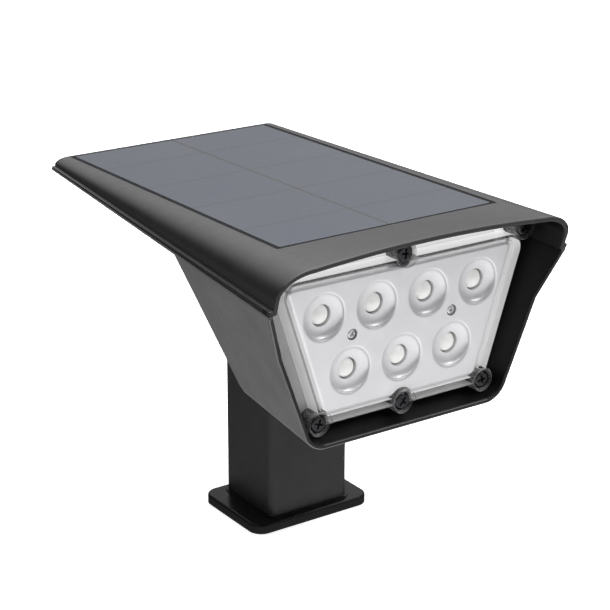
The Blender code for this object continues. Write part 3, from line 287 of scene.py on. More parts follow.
def cylinder(name, radius, start, end, sides=48):
    start = Vector(start)
    run = Vector(end) - start
    bm = bmesh.new()
    bmesh.ops.create_cone(bm, cap_ends=True, segments=sides, radius1=radius, radius2=radius, depth=run.length)
    turn = Vector((0, 0, 1)).rotation_difference(run).to_matrix().to_4x4()
    bm.transform(Matrix.Translation(start + run / 2) @ turn)
    return object_from(bm, name)


def pin(name, radius, start, end, sides=48):
    """A cylinder on the pivot's axis between two values of x."""
    return cylinder(name, radius, (start, 0, PIVOT_Z), (end, 0, PIVOT_Z), sides)


def turned(name, profile, centre, direction, steps=48):
    """A solid turned about the line through centre along direction, from a profile of
    (radius, height) that starts and ends on the axis, or is closed into a ring."""
    bm = bmesh.new()
    rows = []
    for radius, height in profile:
        if radius == 0:
            rows.append([bm.verts.new((0, 0, height))] * steps)
        else:
            rows.append([bm.verts.new((radius * math.cos(2 * math.pi * i / steps),
                                       radius * math.sin(2 * math.pi * i / steps), height))
                         for i in range(steps)])
    if profile[0][0]:
        rows.append(rows[0])
    for upper, lower in zip(rows, rows[1:]):
        for i in range(steps):
            j = (i + 1) % steps
            corners = [upper[i], upper[j], lower[j], lower[i]]
            bm.faces.new(list(dict.fromkeys(corners)))
    bmesh.ops.recalc_face_normals(bm, faces=bm.faces)
    turn = Vector((0, 0, 1)).rotation_difference(Vector(direction)).to_matrix().to_4x4()
    bm.transform(Matrix.Translation(centre) @ turn)
    return object_from(bm, name)


def arc(centre, radius, start, end, steps):
    """Points (radius, height) along an arc between two angles in degrees."""
    return [(centre[0] + radius * math.cos(math.radians(start + (end - start) * i / steps)),
             centre[1] + radius * math.sin(math.radians(start + (end - start) * i / steps)))
            for i in range(steps + 1)]


def quarter(steps):
    return [math.pi / 2 * step / steps for step in range(steps + 1)]


def skin(name, rings):
    """A solid over closed rings of equal length."""
    bm = bmesh.new()
    rows = [[bm.verts.new(point) for point in ring] for ring in rings]
    count = len(rows[0])
    for near, far in zip(rows, rows[1:]):
        for i in range(count):
            j = (i + 1) % count
            bm.faces.new((near[i], near[j], far[j], far[i]))
    bm.faces.new(list(reversed(rows[0])))
    bm.faces.new(rows[-1])
    bmesh.ops.remove_doubles(bm, verts=bm.verts, dist=0.001 * MM)
    bmesh.ops.recalc_face_normals(bm, faces=bm.faces)
    return object_from(bm, name)


def slab(name, outline, start, end, normal="Y", edge=0.0, segments=3):
    """A flat outline given thickness along an axis. The outline's points are (x, z) for normal Y
    and (y, z) for normal X."""
    def ring(along):
        if normal == "Y":
            return [Vector((a, along, b)) for a, b in outline]
        return [Vector((along, a, b)) for a, b in outline]
    made = skin(name, [ring(start), ring(end)])
    if edge:
        bevel(made, edge, segments, "ANGLE")
        settle(made)
    return made


def rounded(corners, radius, steps=10):
    """An outline with an arc at each corner."""
    points = []
    count = len(corners)
    for i, corner in enumerate(corners):
        here = Vector(corner)
        before = (Vector(corners[i - 1]) - here).normalized()
        after = (Vector(corners[(i + 1) % count]) - here).normalized()
        half = before.angle(after) / 2
        centre = here + (before + after).normalized() * (radius / math.sin(half))
        start = here + before * (radius / math.tan(half)) - centre
        sweep = math.pi - 2 * half
        if before.x * after.y - before.y * after.x > 0:
            sweep = -sweep
        for step in range(steps + 1):
            turn = Matrix.Rotation(sweep * step / steps, 2)
            points.append(tuple(centre + turn @ start))
    return points


def soften(piece, width, chosen):
    """Round the edges for which chosen(one end, other end) is true."""
    bm = bmesh.new()
    bm.from_mesh(piece.data)
    bmesh.ops.remove_doubles(bm, verts=bm.verts, dist=0.002 * MM)
    weight = bm.edges.layers.float.get("bevel_weight_edge") or bm.edges.layers.float.new("bevel_weight_edge")
    for edge in bm.edges:
        fold = edge.calc_face_angle(0.0)
        edge[weight] = 1.0 if fold > math.radians(30) and chosen(edge.verts[0].co, edge.verts[1].co) else 0.0
    bm.to_mesh(piece.data)
    bm.free()
    change = bevel(piece, width, 3)
    change.use_clamp_overlap = False
    change.miter_outer = "MITER_ARC"
    settle(piece)


def finish(piece, finishes, body, node, angle=40.0, faces=()):
    """Shade a piece, give it its materials, and hang it on the body in place of its CAD node.
    faces numbers each face's material."""
    piece.data.materials.clear()
    for made in finishes:
        piece.data.materials.append(made)
    for polygon, number in zip(piece.data.polygons, faces):
        polygon.material_index = number
    piece.data.shade_smooth()
    piece.data.set_sharp_from_angle(angle=math.radians(angle))
    normals = piece.modifiers.new("even_normals", "WEIGHTED_NORMAL")
    normals.keep_sharp = True
    normals.weight = 80
    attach(piece, body)
    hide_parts(node)


# ---- materials
class Nodes:
    """A node tree and short ways to add to it."""

    def __init__(self, tree, coords):
        self.tree = tree
        self.coords = tree.nodes.new("ShaderNodeTexCoord").outputs[coords]

    def link(self, source, node, socket):
        self.tree.links.new(source, node.inputs[socket])

    def noise(self, scale, detail=2.0, stretch=None):
        node = self.tree.nodes.new("ShaderNodeTexNoise")
        node.inputs["Scale"].default_value = scale
        node.inputs["Detail"].default_value = detail
        source = self.coords
        if stretch:
            mapping = self.tree.nodes.new("ShaderNodeMapping")
            mapping.inputs["Scale"].default_value = stretch
            self.link(source, mapping, "Vector")
            source = mapping.outputs["Vector"]
        self.link(source, node, "Vector")
        return node.outputs["Fac"]

    def ramp(self, source, stops):
        node = self.tree.nodes.new("ShaderNodeValToRGB")
        band = node.color_ramp
        while len(band.elements) < len(stops):
            band.elements.new(0.5)
        for element, (position, colour) in zip(band.elements, stops):
            element.position = position
            element.color = colour if len(colour) == 4 else (*colour, 1.0)
        self.link(source, node, "Fac")
        return node.outputs["Color"]

    def spread(self, source, low, high, start=0.3, end=0.7):
        """A value that runs from low to high with the source."""
        node = self.tree.nodes.new("ShaderNodeMapRange")
        for label, value in (("From Min", start), ("From Max", end), ("To Min", low), ("To Max", high)):
            node.inputs[label].default_value = value
        self.link(source, node, "Value")
        return node.outputs["Result"]

    def math(self, operation, first, second=None, clamp=False):
        node = self.tree.nodes.new("ShaderNodeMath")
        node.operation = operation
        node.use_clamp = clamp
        for socket, value in zip(node.inputs, (first, second)):
            if isinstance(value, (int, float)):
                socket.default_value = value
            elif value is not None:
                self.tree.links.new(value, socket)
        return node.outputs["Value"]

    def axis(self, index):
        node = self.tree.nodes.new("ShaderNodeSeparateXYZ")
        self.link(self.coords, node, "Vector")
        return node.outputs[index]

    def mix(self, factor, first, second):
        node = self.tree.nodes.new("ShaderNodeMix")
        node.data_type = "RGBA"
        self.tree.links.new(factor, node.inputs["Factor"])
        for socket, value in ((node.inputs[6], first), (node.inputs[7], second)):
            if isinstance(value, tuple):
                socket.default_value = (*value, 1.0)
            else:
                self.tree.links.new(value, socket)
        return node.outputs[2]


class Shader(Nodes):
    """A Principled material and the nodes that feed it."""

    def __init__(self, name, **values):
        self.material = bpy.data.materials.new(name)
        self.material.use_nodes = True
        super().__init__(self.material.node_tree, "Object")
        self.surface = self.tree.nodes["Principled BSDF"]
        for label, value in values.items():
            self.surface.inputs[label.replace("_", " ")].default_value = value

    def feed(self, source, label):
        self.tree.links.new(source, self.surface.inputs[label])

    def colour(self, source, stops):
        self.feed(self.ramp(source, stops), "Base Color")

    def rough(self, source, low, high):
        self.feed(self.spread(source, low, high), "Roughness")

    def bump(self, source, strength, depth):
        node = self.tree.nodes.new("ShaderNodeBump")
        node.inputs["Strength"].default_value = strength
        node.inputs["Distance"].default_value = depth
        self.link(source, node, "Height")
        self.feed(node.outputs["Normal"], "Normal")


def shades(colour, spread):
    """A colour and its darker and lighter neighbours, as ramp stops."""
    return [(0.3, tuple(c * (1 - spread) for c in colour)), (0.7, tuple(c * (1 + spread) for c in colour))]


def moulded(name, colour, rough, grain, strength, gloss=0.5, painted_glow=0.0):
    """Moulded plastic: fine spark-eroded grain, slightly uneven in colour and gloss. Its glow, where given,
    is painted light.
    """
    made = Shader(name, Specular_IOR_Level=gloss, Emission_Color=(1, 1, 1, 1), Emission_Strength=painted_glow)
    made.colour(made.noise(90, 4), shades(colour, 0.10))
    made.rough(made.noise(250, 3), rough - 0.05, rough + 0.05)
    made.bump(made.noise(1000 / grain, 3), strength, 0.03 * MM)
    return made.material


def metal(name, colour, rough, brushed):
    """Metal with fine machining marks."""
    made = Shader(name, Metallic=1.0)
    marks = made.noise(900, 4, brushed)
    made.colour(marks, shades(colour, 0.18))
    made.rough(marks, rough - 0.08, rough + 0.08)
    made.bump(marks, 0.25, 0.01 * MM)
    return made.material


def clear(name, face_on, skimming, painted_glow=0.0, tint=0.93):
    """Clear moulded plastic: see-through face on, and whiter where the eye skims it, which is a painted
    reflection.
    Its glow is painted light on the walls: an emission that stands in for light carried from the window."""
    made = Shader(name, IOR=1.49, Emission_Color=(1, 1, 1, 1), Emission_Strength=painted_glow)
    made.colour(made.noise(80, 2), shades((tint, tint, tint), 0.04))
    facing = made.tree.nodes.new("ShaderNodeLayerWeight")
    facing.inputs["Blend"].default_value = 0.5
    made.feed(made.spread(facing.outputs["Facing"], face_on, skimming, 0.24, 0.7), "Alpha")
    made.rough(made.noise(120, 3), 0.04, 0.09)
    made.bump(made.noise(60, 2), 0.05, 0.05 * MM)
    return made.material


def cells():
    """Solar cells under a satin film: seams across and a divider along the middle."""
    made = Shader("solar_cells", Specular_IOR_Level=0.43)
    across = made.axis("X")
    along = made.axis("Y")
    tone = made.ramp(made.noise(25, 5), [(0.3, (0.028, 0.033, 0.048)), (0.7, (0.034, 0.037, 0.052))])
    cell = PANEL_LENGTH / CELL_ROWS
    rows = made.math("LESS_THAN", made.math("PINGPONG", made.math("ADD", along, 1.0), cell), 0.25 * MM)
    middle = made.math("LESS_THAN", made.math("ABSOLUTE", across), 0.45 * MM)
    lines = made.math("MAXIMUM", rows, middle)
    fingers = made.math("PINGPONG", made.math("ADD", across, 1.0), 0.8 * MM)
    fingers = made.math("LESS_THAN", fingers, 0.08 * MM)
    tone = made.mix(made.math("MULTIPLY", fingers, 0.2), tone, (0.05, 0.055, 0.065))
    tone = made.mix(lines, tone, (0.012, 0.012, 0.008))
    made.feed(tone, "Base Color")
    made.rough(made.noise(400, 3), 0.34, 0.40)
    made.bump(made.noise(1500, 2), 0.04, 0.01 * MM)
    return made.material


def silver():
    """Satin plating on the reflector."""
    made = Shader("silver_plate", Metallic=0.45)
    made.colour(made.noise(140, 4), [(0.3, (0.83, 0.83, 0.84)), (0.7, (0.88, 0.88, 0.89))])
    made.rough(made.noise(300, 3), 0.30, 0.38)
    made.bump(made.noise(500, 2), 0.03, 0.02 * MM)
    return made.material


def board(name, colour):
    """A circuit board with traces under its mask."""
    made = Shader(name, Roughness=0.45)
    traces = made.noise(300, 1, (1, 0.15, 1))
    made.colour(traces, shades(colour, 0.25))
    made.bump(traces, 0.2, 0.03 * MM)
    return made.material


HOOD_PLASTIC = moulded("hood_plastic", (0.016, 0.016, 0.017), 0.40, 0.45, 0.5, 0.5)
HOUSING_PLASTIC = moulded("housing_plastic", (0.130, 0.130, 0.132), 0.55, 0.30, 0.25, 0.4)
# Near-black copy of the plastic for faces that turn inwards or downwards: painted shade.
INSIDE_PAINTED_SHADE = moulded("inside_painted_shade", (0.006, 0.006, 0.006), 0.40, 0.30, 0.15, 0.25)
POST_PLASTIC = moulded("post_plastic", (0.026, 0.026, 0.027), 0.42, 0.35, 0.3, 0.2)
FOOT_PLASTIC = moulded("foot_plastic", (0.008, 0.008, 0.009), 0.26, 0.8, 0.06, 0.08)
RUBBER = moulded("soft_rubber", (0.008, 0.008, 0.008), 0.8, 0.25, 0.3, 0.15)
# Copies of one clear plastic, one for each region of the lens. The glow on the walls and flange is painted
# light. The darker tints of the low wall and the bosses are painted shade, and the near-black front edge is a
# painted dark line in place of refraction.
LENS_LOOKS = [clear("clear_window", 0.04, 0.25), clear("clear_wall", 0.72, 0.90, 0.24),
              clear("clear_low_wall", 0.30, 0.50, 0.02, 0.8), clear("clear_top_wall", 0.75, 0.92, 0.55),
              clear("clear_flange", 0.40, 0.55, 0.02), clear("clear_boss", 0.10, 0.60, 0.0, 0.55),
              clear("clear_edge", 0.60, 0.75, 0.0, 0.06)]
CELLS = cells()
SILVER = silver()
BLACK_ZINC = metal("black_zinc", (0.035, 0.035, 0.037), 0.26, (1, 1, 1))
ZINC = metal("zinc_plate", (0.62, 0.62, 0.63), 0.28, (1, 8, 1))
BRIGHT = metal("spring_steel", (0.70, 0.70, 0.70), 0.22, (8, 1, 1))
WHITE_BOARD = board("white_board", (0.72, 0.73, 0.72))
GREEN_BOARD = board("green_board", (0.03, 0.16, 0.07))
LED_BODY = moulded("led_body", (0.78, 0.78, 0.76), 0.4, 0.2, 0.1)
# The gel's glow is painted light that makes the LED domes pale.
LED_GEL = moulded("led_gel", (0.84, 0.84, 0.81), 0.2, 0.5, 0.05, painted_glow=0.25)
CELL_WRAP = moulded("cell_wrap", (0.03, 0.10, 0.28), 0.35, 1.2, 0.15)


# ---- case surfaces
def along_case(y, front, back):
    return front + (back - front) * (y - CASE_FRONT_Y) / (CASE_BACK_Y - CASE_FRONT_Y)


def case_half(y):
    return along_case(y, CASE_FRONT_HALF, CASE_BACK_HALF)


def lip_z(y):
    return along_case(y, LIP_FRONT_Z, LIP_BACK_Z)


def parting_z(y):
    return lip_z(y) + PARTING_RISE + GAP / 2


def deck_z(y):
    return DECK_FRONT_Z + (DECK_BACK_Z - DECK_FRONT_Z) * (y - PANEL_FRONT_Y) / PANEL_LENGTH


def ceiling_z(y):
    return deck_z(y) - RECESS_DEPTH - TUB_FLOOR


def panel_half(y):
    """Half the panel's width at y."""
    back = (y - PANEL_FRONT_Y) / PANEL_LENGTH
    return (PANEL_FRONT_WIDTH + (PANEL_BACK_WIDTH - PANEL_FRONT_WIDTH) * back) / 2


def crown(x, y):
    """Height that the visor's crown adds to the deck at (x, y)."""
    reach = (PANEL_FRONT_Y - y) / (PANEL_FRONT_Y - VISOR_FRONT_Y)
    across = min(1.0, abs(x) / along_case(y, SHOULDER_FRONT, SHOULDER_BACK))
    return VISOR_RISE * max(0.0, reach) * (1 - across * across)


def rim_y(z):
    """Where the rim's face stands at a height."""
    if z < RIM_KINK_Z:
        stand = (RIM_KINK_Y - RIM_BOTTOM_Y) / (RIM_KINK_Z - RIM_BOTTOM_Z)
        return RIM_BOTTOM_Y + stand * (z - RIM_BOTTOM_Z)
    return RIM_KINK_Y + (VISOR_FRONT_Y - RIM_KINK_Y) / (RIM_TOP_Z - RIM_KINK_Z) * (z - RIM_KINK_Z)


# ---- hood
def hood_half(y, inset=0.0, sink=0.0):
    """Half of the hood's section at y, from the lip to the middle, as (x, z). inset moves it
    inwards, and sink lowers the part over the panel's recess."""
    half = case_half(y)
    proud = along_case(y, BAND_PROUD_FRONT, BAND_PROUD_BACK)
    skirt = half - proud
    band = lip_z(y) + along_case(y, BAND_FRONT, BAND_BACK)
    shoulder = along_case(y, SHOULDER_FRONT, SHOULDER_BACK)
    drop = along_case(y, SHOULDER_DROP_FRONT, SHOULDER_DROP_BACK)
    deck = deck_z(y)
    low = parting_z(y)
    edge = LIP_EDGE
    fillet = min(edge, 0.4 * (deck - drop - band))
    if inset < CASE_WALL:
        out = half - inset
        side = [(out - edge / 2, low), (out, low + edge / 2), (out, band - edge - inset)]
        side += [(out - edge * 0.3, band - edge * 0.3 - inset), (out - edge, band - inset)]
        side += [(skirt - inset + fillet * turn, band - inset + fillet * rise)
                 for turn, rise in ((1, 0), (0.3, 0.3), (0, 1))]
    else:
        out = skirt - inset
        side = [(out, low + (band - low) * step / 7) for step in range(8)]
    for step in range(SHOULDER_STEPS + 1):
        turn = math.pi / 2 * step / SHOULDER_STEPS
        side.append((shoulder + (skirt - inset - shoulder) * math.cos(turn),
                     deck - drop + (drop - inset) * math.sin(turn)))
    recess = panel_half(y) + PANEL_SEAM
    walls = [(recess + edge / 2, 0.0), (recess, min(sink, edge / 2)), (recess, sink)]
    for step in range(1, DECK_STEPS + 1):
        walls.append((recess * (1 - step / DECK_STEPS), sink))
    side += [(x, deck - inset - down + crown(x, y)) for x, down in walls]
    return side


def hood_ring(station, inset=0.0, sink=0.0, ceiling=False):
    """The whole section. station(x, z) gives y, so that a section may lean with the rim."""
    count = len(hood_half(0.0))
    half = []
    for index in range(count):
        y = station(0.0, RIM_TOP_Z)
        for _ in range(6):
            x, z = hood_half(y, inset, sink)[index]
            y = station(x, z)
        if ceiling:
            z = min(z, ceiling_z(y))
        half.append(Vector((x, y, z)))
    mirrored = [Vector((-p.x, p.y, p.z)) for p in reversed(half[:-1])]
    return half + mirrored


def at(y):
    return lambda x, z: y


def behind_rim(back, share=0.0, y=0.0):
    """A station that lies behind the rim's face, part of the way to a plane at y."""
    return lambda x, z: (rim_y(z) + back) * (1 - share) + y * share


def make_hood():
    edge = RIM_EDGE
    lip = LIP_EDGE / 2
    settled_y = CASE_FRONT_Y + 3 * MM
    outer = [hood_ring(behind_rim(edge * 0.3), edge * 0.3), hood_ring(behind_rim(edge))]
    outer += [hood_ring(behind_rim(edge, share, settled_y)) for share in (0.35, 0.7, 1.0)]
    outer += [hood_ring(at(y * MM)) for y in (-69.0, -65.0, -61.5)]
    outer += [hood_ring(at(RECESS_FRONT_Y - lip)), hood_ring(at(RECESS_FRONT_Y), sink=lip),
              hood_ring(at(RECESS_FRONT_Y), sink=RECESS_DEPTH)]
    steps = 12
    outer += [hood_ring(at(PANEL_FRONT_Y + PANEL_LENGTH * step / steps), sink=RECESS_DEPTH)
              for step in range(steps)]
    back = CASE_BACK_Y
    outer += [hood_ring(at(RECESS_BACK_Y), sink=RECESS_DEPTH), hood_ring(at(RECESS_BACK_Y), sink=lip),
              hood_ring(at(RECESS_BACK_Y + lip)), hood_ring(at(back - LIP_EDGE)),
              hood_ring(at(back - LIP_EDGE * 0.3), LIP_EDGE * 0.3), hood_ring(at(back), LIP_EDGE)]
    inner = [hood_ring(behind_rim(0), edge), hood_ring(behind_rim(0), CASE_WALL - edge),
             hood_ring(behind_rim(edge * 0.3), CASE_WALL - edge * 0.3),
             hood_ring(behind_rim(edge), CASE_WALL)]
    inner += [hood_ring(behind_rim(edge, share, settled_y), CASE_WALL) for share in (0.5, 1.0)]
    inner += [hood_ring(at(y * MM), CASE_WALL) for y in (-68.0, -64.0, -60.0)]
    inner += [hood_ring(at(y * MM), CASE_WALL, ceiling=True) for y in (-59.9, -30.0, 0.0, 30.0)]
    inner.append(hood_ring(at(POCKET_BACK_Y), CASE_WALL, ceiling=True))
    rings = list(reversed(outer)) + inner
    bm = bmesh.new()
    rows = [[bm.verts.new(point) for point in ring] for ring in rings]
    for near, far in zip(rows, rows[1:]):
        for i in range(len(near) - 1):
            bm.faces.new((near[i], near[i + 1], far[i + 1], far[i]))
    bm.faces.new(rows[0])
    bm.faces.new(rows[-1])
    bm.faces.new([row[0] for row in rows] + [row[-1] for row in reversed(rows)])
    bmesh.ops.remove_doubles(bm, verts=bm.verts, dist=0.002 * MM)
    bmesh.ops.recalc_face_normals(bm, faces=bm.faces)
    hood = object_from(bm, "hood_shell")
    # Faces that look down or inwards get the near-black inside look: painted shade under the visor and inside
    # the shell.
    sides = [1 if polygon.normal.z < 0 or polygon.normal.x * polygon.center.x < 0 else 0
             for polygon in hood.data.polygons]
    finish(hood, [HOOD_PLASTIC, INSIDE_PAINTED_SHADE], "head", "top_cover", faces=sides)


# ---- panel
def make_panel():
    def corner(sx, sy, sz):
        y = PANEL_FRONT_Y if sy < 0 else PANEL_BACK_Y
        return (sx * panel_half(y), y, deck_z(y) - (PANEL_THICK if sz < 0 else 0.0))

    def edges(a, b):
        return 0.6 * MM if a[2] != b[2] else (0.15 * MM if a[2] > 0 else 0.0)
    panel = block("panel_glass", corner, edges, 3)
    finish(panel, [CELLS], "head", "solar_panel")


# ---- lower housing
def lamp_half(y, z):
    return RIM_HALF + SIDE_LEAN * (z - RIM_BOTTOM_Z) - SIDE_TAPER * (y - RIM_BOTTOM_Y)


def lamp_bottom(y):
    return RIM_BOTTOM_Z + BOTTOM_RISE * (y - RIM_BOTTOM_Y)


def lamp_back(z):
    return BACK_LOW_Y + BACK_LEAN * (z - BACK_LOW_Z)


def lamp_block(name, inset, front, back=None, top=None):
    """The lamp body's outer shape moved in by inset, from front to back."""
    open_corner = math.tan((math.pi / 2 - math.atan(SIDE_LEAN)) / 2)

    def corner(sx, sy, sz):
        y = front if sy < 0 else (back if back is not None else lamp_back(BACK_LOW_Z) - inset)
        z = lamp_bottom(y) + inset
        if sz > 0:
            z = top if top is not None else lip_z(y) + PARTING_RISE / 2
            if sy > 0 and back is None:
                y = lamp_back(z) - inset
        elif sy > 0 and back is None:
            y = lamp_back(z) - inset
        return (sx * (lamp_half(y, z) - inset), y, z)

    def radius(a, b):
        if a[2] != b[2]:
            size = BACK_CORNER if a[1] > 0 and back is None else 0.0
        elif a[2] > 0:
            size = 0.0
        elif a[1] != b[1]:
            return max(0.0, BOTTOM_CORNER - inset) * open_corner
        else:
            size = BACK_CORNER if a[1] > 0 and back is None else 0.0
        return max(0.0, size - inset)
    return block(name, corner, radius, 12)


def case_layer(name, margin, low, high, front=CASE_FRONT_Y, back=CASE_BACK_Y, edge=0.0, corner_edge=0.0):
    def corner(sx, sy, sz):
        y = front if sy < 0 else back
        return (sx * (case_half(y) - margin), y, lip_z(y) + (low if sz < 0 else high))

    def radius(a, b):
        return corner_edge if a[2] != b[2] else (edge if a[2] < 0 else edge * 0.5)
    return block(name, corner, radius if edge else None, 3)


def ear_outline():
    root = lip_z(0) - BELLY_DROP / 2
    return [(EAR_ROOT, root), (-EAR_ROOT, root)] + [(y, PIVOT_Z + z)
                                                    for y, z in arc((0, 0), PIVOT_RADIUS, 180, 360, 32)]


def lens_screw_places():
    return {f"lens_screw_{level}_{label}": (side * x, z)
            for level, (x, z) in (("low", LENS_SCREW_LOW), ("high", LENS_SCREW_HIGH))
            for side, label in ((-1, "left"), (0, "middle"), (1, "right"))}


def at_lens_screws(name, radius, front, back):
    """A cylinder at each lens screw."""
    return gather(name, [cylinder(name, radius, (x, front, z), (x, back, z), 40)
                         for x, z in lens_screw_places().values()])


def case_screw_places():
    return [(side * (case_half(y) - CASE_SCREW_INSET), y) for y in CASE_SCREW_YS for side in (-1, 1)]


def button_frame():
    slope = math.atan(BOTTOM_RISE)
    spot = Vector((0, BUTTON_Y, lamp_bottom(BUTTON_Y)))
    return Matrix.Translation(spot) @ Matrix.Rotation(slope, 4, "X")


def rim_cutter():
    """Everything in front of the rim."""
    margin = 40 * MM
    low = RIM_BOTTOM_Z - margin
    high = RIM_TOP_Z + margin
    front = -margin - 100 * MM
    outline = [(front, low), (rim_y(low), low), (RIM_KINK_Y, RIM_KINK_Z), (rim_y(high), high), (front, high)]
    reach = CASE_FRONT_HALF + margin
    return slab("housing_rim_cut", outline, -reach, reach, "X")


def on_rim(a, b):
    return all(abs(p.y - rim_y(p.z)) < 0.02 * MM for p in (a, b))


def make_housing():
    housing = lamp_block("housing_shell", 0.0, RIM_BOTTOM_Y - 22 * MM)
    combine(housing, "UNION",
            case_layer("case_flange", 0.0, 0.0, PARTING_RISE - GAP / 2, edge=0.3 * MM),
            case_layer("case_belly", BELLY_MARGIN, -BELLY_DROP, PARTING_RISE / 2,
                       lamp_back(LIP_FRONT_Z) - REACH, CASE_BACK_Y - BELLY_MARGIN, 0.7 * MM, 4 * MM))
    combine(housing, "DIFFERENCE",
            lamp_block("front_hollow", LAMP_WALL, RIM_BOTTOM_Y - 25 * MM, BULKHEAD_FRONT_Y, RIM_TOP_Z),
            lamp_block("lamp_hollow", LAMP_WALL, BULKHEAD_FRONT_Y + BULKHEAD_THICK, None,
                       LIP_FRONT_Z - 1 * MM))
    bulkhead_z = ceiling_z(BULKHEAD_FRONT_Y) - GAP
    low_z = LIP_FRONT_Z - 3 * MM

    def bulkhead_corner(sx, sy, sz):
        y = BULKHEAD_FRONT_Y + (0 if sy < 0 else BULKHEAD_THICK)
        half = min(lamp_half(y, low_z), case_half(y) - BAND_PROUD_FRONT) - CASE_WALL - 0.4 * MM
        return (sx * half, y, low_z if sz < 0 else bulkhead_z)

    def bulkhead_radius(a, b):
        return SHOULDER_DROP_FRONT - CASE_WALL if a[1] != b[1] and a[2] > 0 else 0.0
    combine(housing, "UNION", block("bulkhead_top", bulkhead_corner, bulkhead_radius))
    for side in (-1, 1):
        faces = sorted((side * EAR_INNER_X, side * EAR_OUTER_X))
        combine(housing, "UNION", slab(f"ear_{side}", ear_outline(), *faces, "X", 0.4 * MM))
    holes = [cylinder("case_hole", CASE_SCREW[0] + GAP, (x, y, lip_z(y) - REACH),
                      (x, y, lip_z(y) + REACH), 24) for x, y in case_screw_places()]
    holes.append(pin("ear_bore", PIVOT_BOLT / 2 + GAP, -EAR_OUTER_X - REACH, EAR_OUTER_X + REACH, 40))
    hole = cylinder("button_hole", BUTTON_RADIUS + GAP, (0, 0, -REACH), (0, 0, LAMP_WALL + 1 * MM))
    holes.append(place(hole, button_frame()))
    seat = CASE_SCREW_SINK - BELLY_DROP + GAP
    pockets = [cylinder("case_pocket", CASE_SCREW[1] + GAP, (x, y, lip_z(y) - REACH),
                        (x, y, lip_z(y) + seat), 40) for x, y in case_screw_places()]
    combine(housing, "DIFFERENCE", gather("housing_holes", holes), gather("case_pockets", pockets),
            rim_cutter())
    soften(housing, RIM_EDGE, on_rim)
    # In front of the bulkhead, faces that look inwards or up, and the rim's face, get the near-black inside
    # look: painted shade.
    sides = []
    for polygon in housing.data.polygons:
        centre = polygon.center
        normal = polygon.normal
        facing_in = normal.x * centre.x < 0 or normal.z > 0.5
        sides.append(1 if centre.y < BULKHEAD_FRONT_Y and (facing_in or on_rim(centre, centre)) else 0)
    finish(housing, [HOUSING_PLASTIC, INSIDE_PAINTED_SHADE], "head", "lower_housing", 30, sides)


# ---- lens
def lens_outline(margin):
    lean = (LENS_HIGH_HALF - LENS_LOW_HALF) / (LENS_HIGH_Z - LENS_LOW_Z)
    across = math.hypot(1, lean)
    low = LENS_LOW_Z - margin
    high = LENS_HIGH_Z + margin
    low_half = LENS_LOW_HALF + lean * (low - LENS_LOW_Z) + margin * across
    high_half = LENS_LOW_HALF + lean * (high - LENS_LOW_Z) + margin * across
    corner = max(LENS_CORNER + margin, 1.0 * MM)
    return rounded([(-low_half, low), (low_half, low), (high_half, high), (-high_half, high)],
                   corner)


def make_lens():
    soft = 0.9 * MM
    fine = 0.3 * MM
    tray = LENS_FRONT_Y + LENS_THICK
    section = arc((-soft, LENS_FRONT_Y + soft), soft, -90, 0, 5)
    section += arc((fine, FLANGE_FRONT_Y - fine), fine, 180, 90, 3)
    section += arc((FLANGE_MARGIN - fine, FLANGE_FRONT_Y + fine), fine, -90, 0, 3)
    section += arc((FLANGE_MARGIN - fine, FLANGE_BACK_Y - fine), fine, 0, 90, 3)
    section.append((-LENS_WALL, FLANGE_BACK_Y))
    section += arc((-LENS_WALL - fine, tray + fine), fine, 0, -90, 3)
    lens = skin("lens_shell", [[Vector((x, y, z)) for x, z in lens_outline(margin)] for margin, y in section])
    places = lens_screw_places().values()
    rim = LENS_FRONT_Y + BOSS_SINK
    ease = 0.25 * MM
    length = FLANGE_BACK_Y - 0.1 * MM - rim
    hollow = LENS_SCREW[1] + GAP
    boss = [(0, 0), (BOSS_RADIUS - ease, 0), (BOSS_RADIUS, ease), (BOSS_RADIUS, length), (0, length)]
    bosses = gather("bosses", [turned("boss", boss, (x, rim, z), (0, 1, 0), 40) for x, z in places])
    front = LENS_FRONT_Y - REACH
    room = at_lens_screws("boss_room", BOSS_RADIUS + 0.2 * MM, front, rim - 0.1 * MM)
    back = FLANGE_BACK_Y + REACH
    bore = LENS_SCREW[0] + GAP
    sink = [(0, 0), (bore, 0), (bore, back - HEAD_SEAT_Y), (hollow, back - HEAD_SEAT_Y),
            (hollow, back - rim - ease), (hollow + ease, back - rim), (hollow + ease, back - front),
            (0, back - front)]
    sinks = gather("sinks", [turned("sink", sink, (x, back, z), (0, -1, 0), 40) for x, z in places])
    combine(lens, "DIFFERENCE", room)
    combine(lens, "UNION", bosses)
    combine(lens, "DIFFERENCE", sinks,
            box("boss_flats", (-CASE_FRONT_HALF, front, BOSS_TOP_Z),
                (CASE_FRONT_HALF, back, BOSS_TOP_Z + 4 * BOSS_RADIUS)))

    def region(polygon):
        """The place of the face's material in LENS_LOOKS, whose looks carry painted light and painted shade
        by region.
        """
        centre = polygon.center
        normal = polygon.normal
        if any(math.hypot(centre.x - x, centre.z - z) < BOSS_RADIUS + GAP for x, z in places):
            return 5
        if centre.y < LENS_FRONT_Y + soft and -0.97 < normal.y < -0.25:
            return 6
        if centre.z > LENS_HIGH_Z - soft and centre.y > tray:
            return 3
        if abs(normal.y) < 0.5:
            return 2 if normal.z < -0.5 else 1
        return 0 if centre.y < tray + 0.5 * MM else 4
    regions = [region(polygon) for polygon in lens.data.polygons]
    finish(lens, LENS_LOOKS, "head", "lens_cover", 35, regions)


# ---- reflector and LEDs
def led_places():
    high = [((column - 1.5) * LED_PITCH, LED_ROW_HIGH_Z) for column in range(4)]
    low = [((column - 1) * LED_PITCH, LED_ROW_LOW_Z) for column in range(3)]
    return high + low


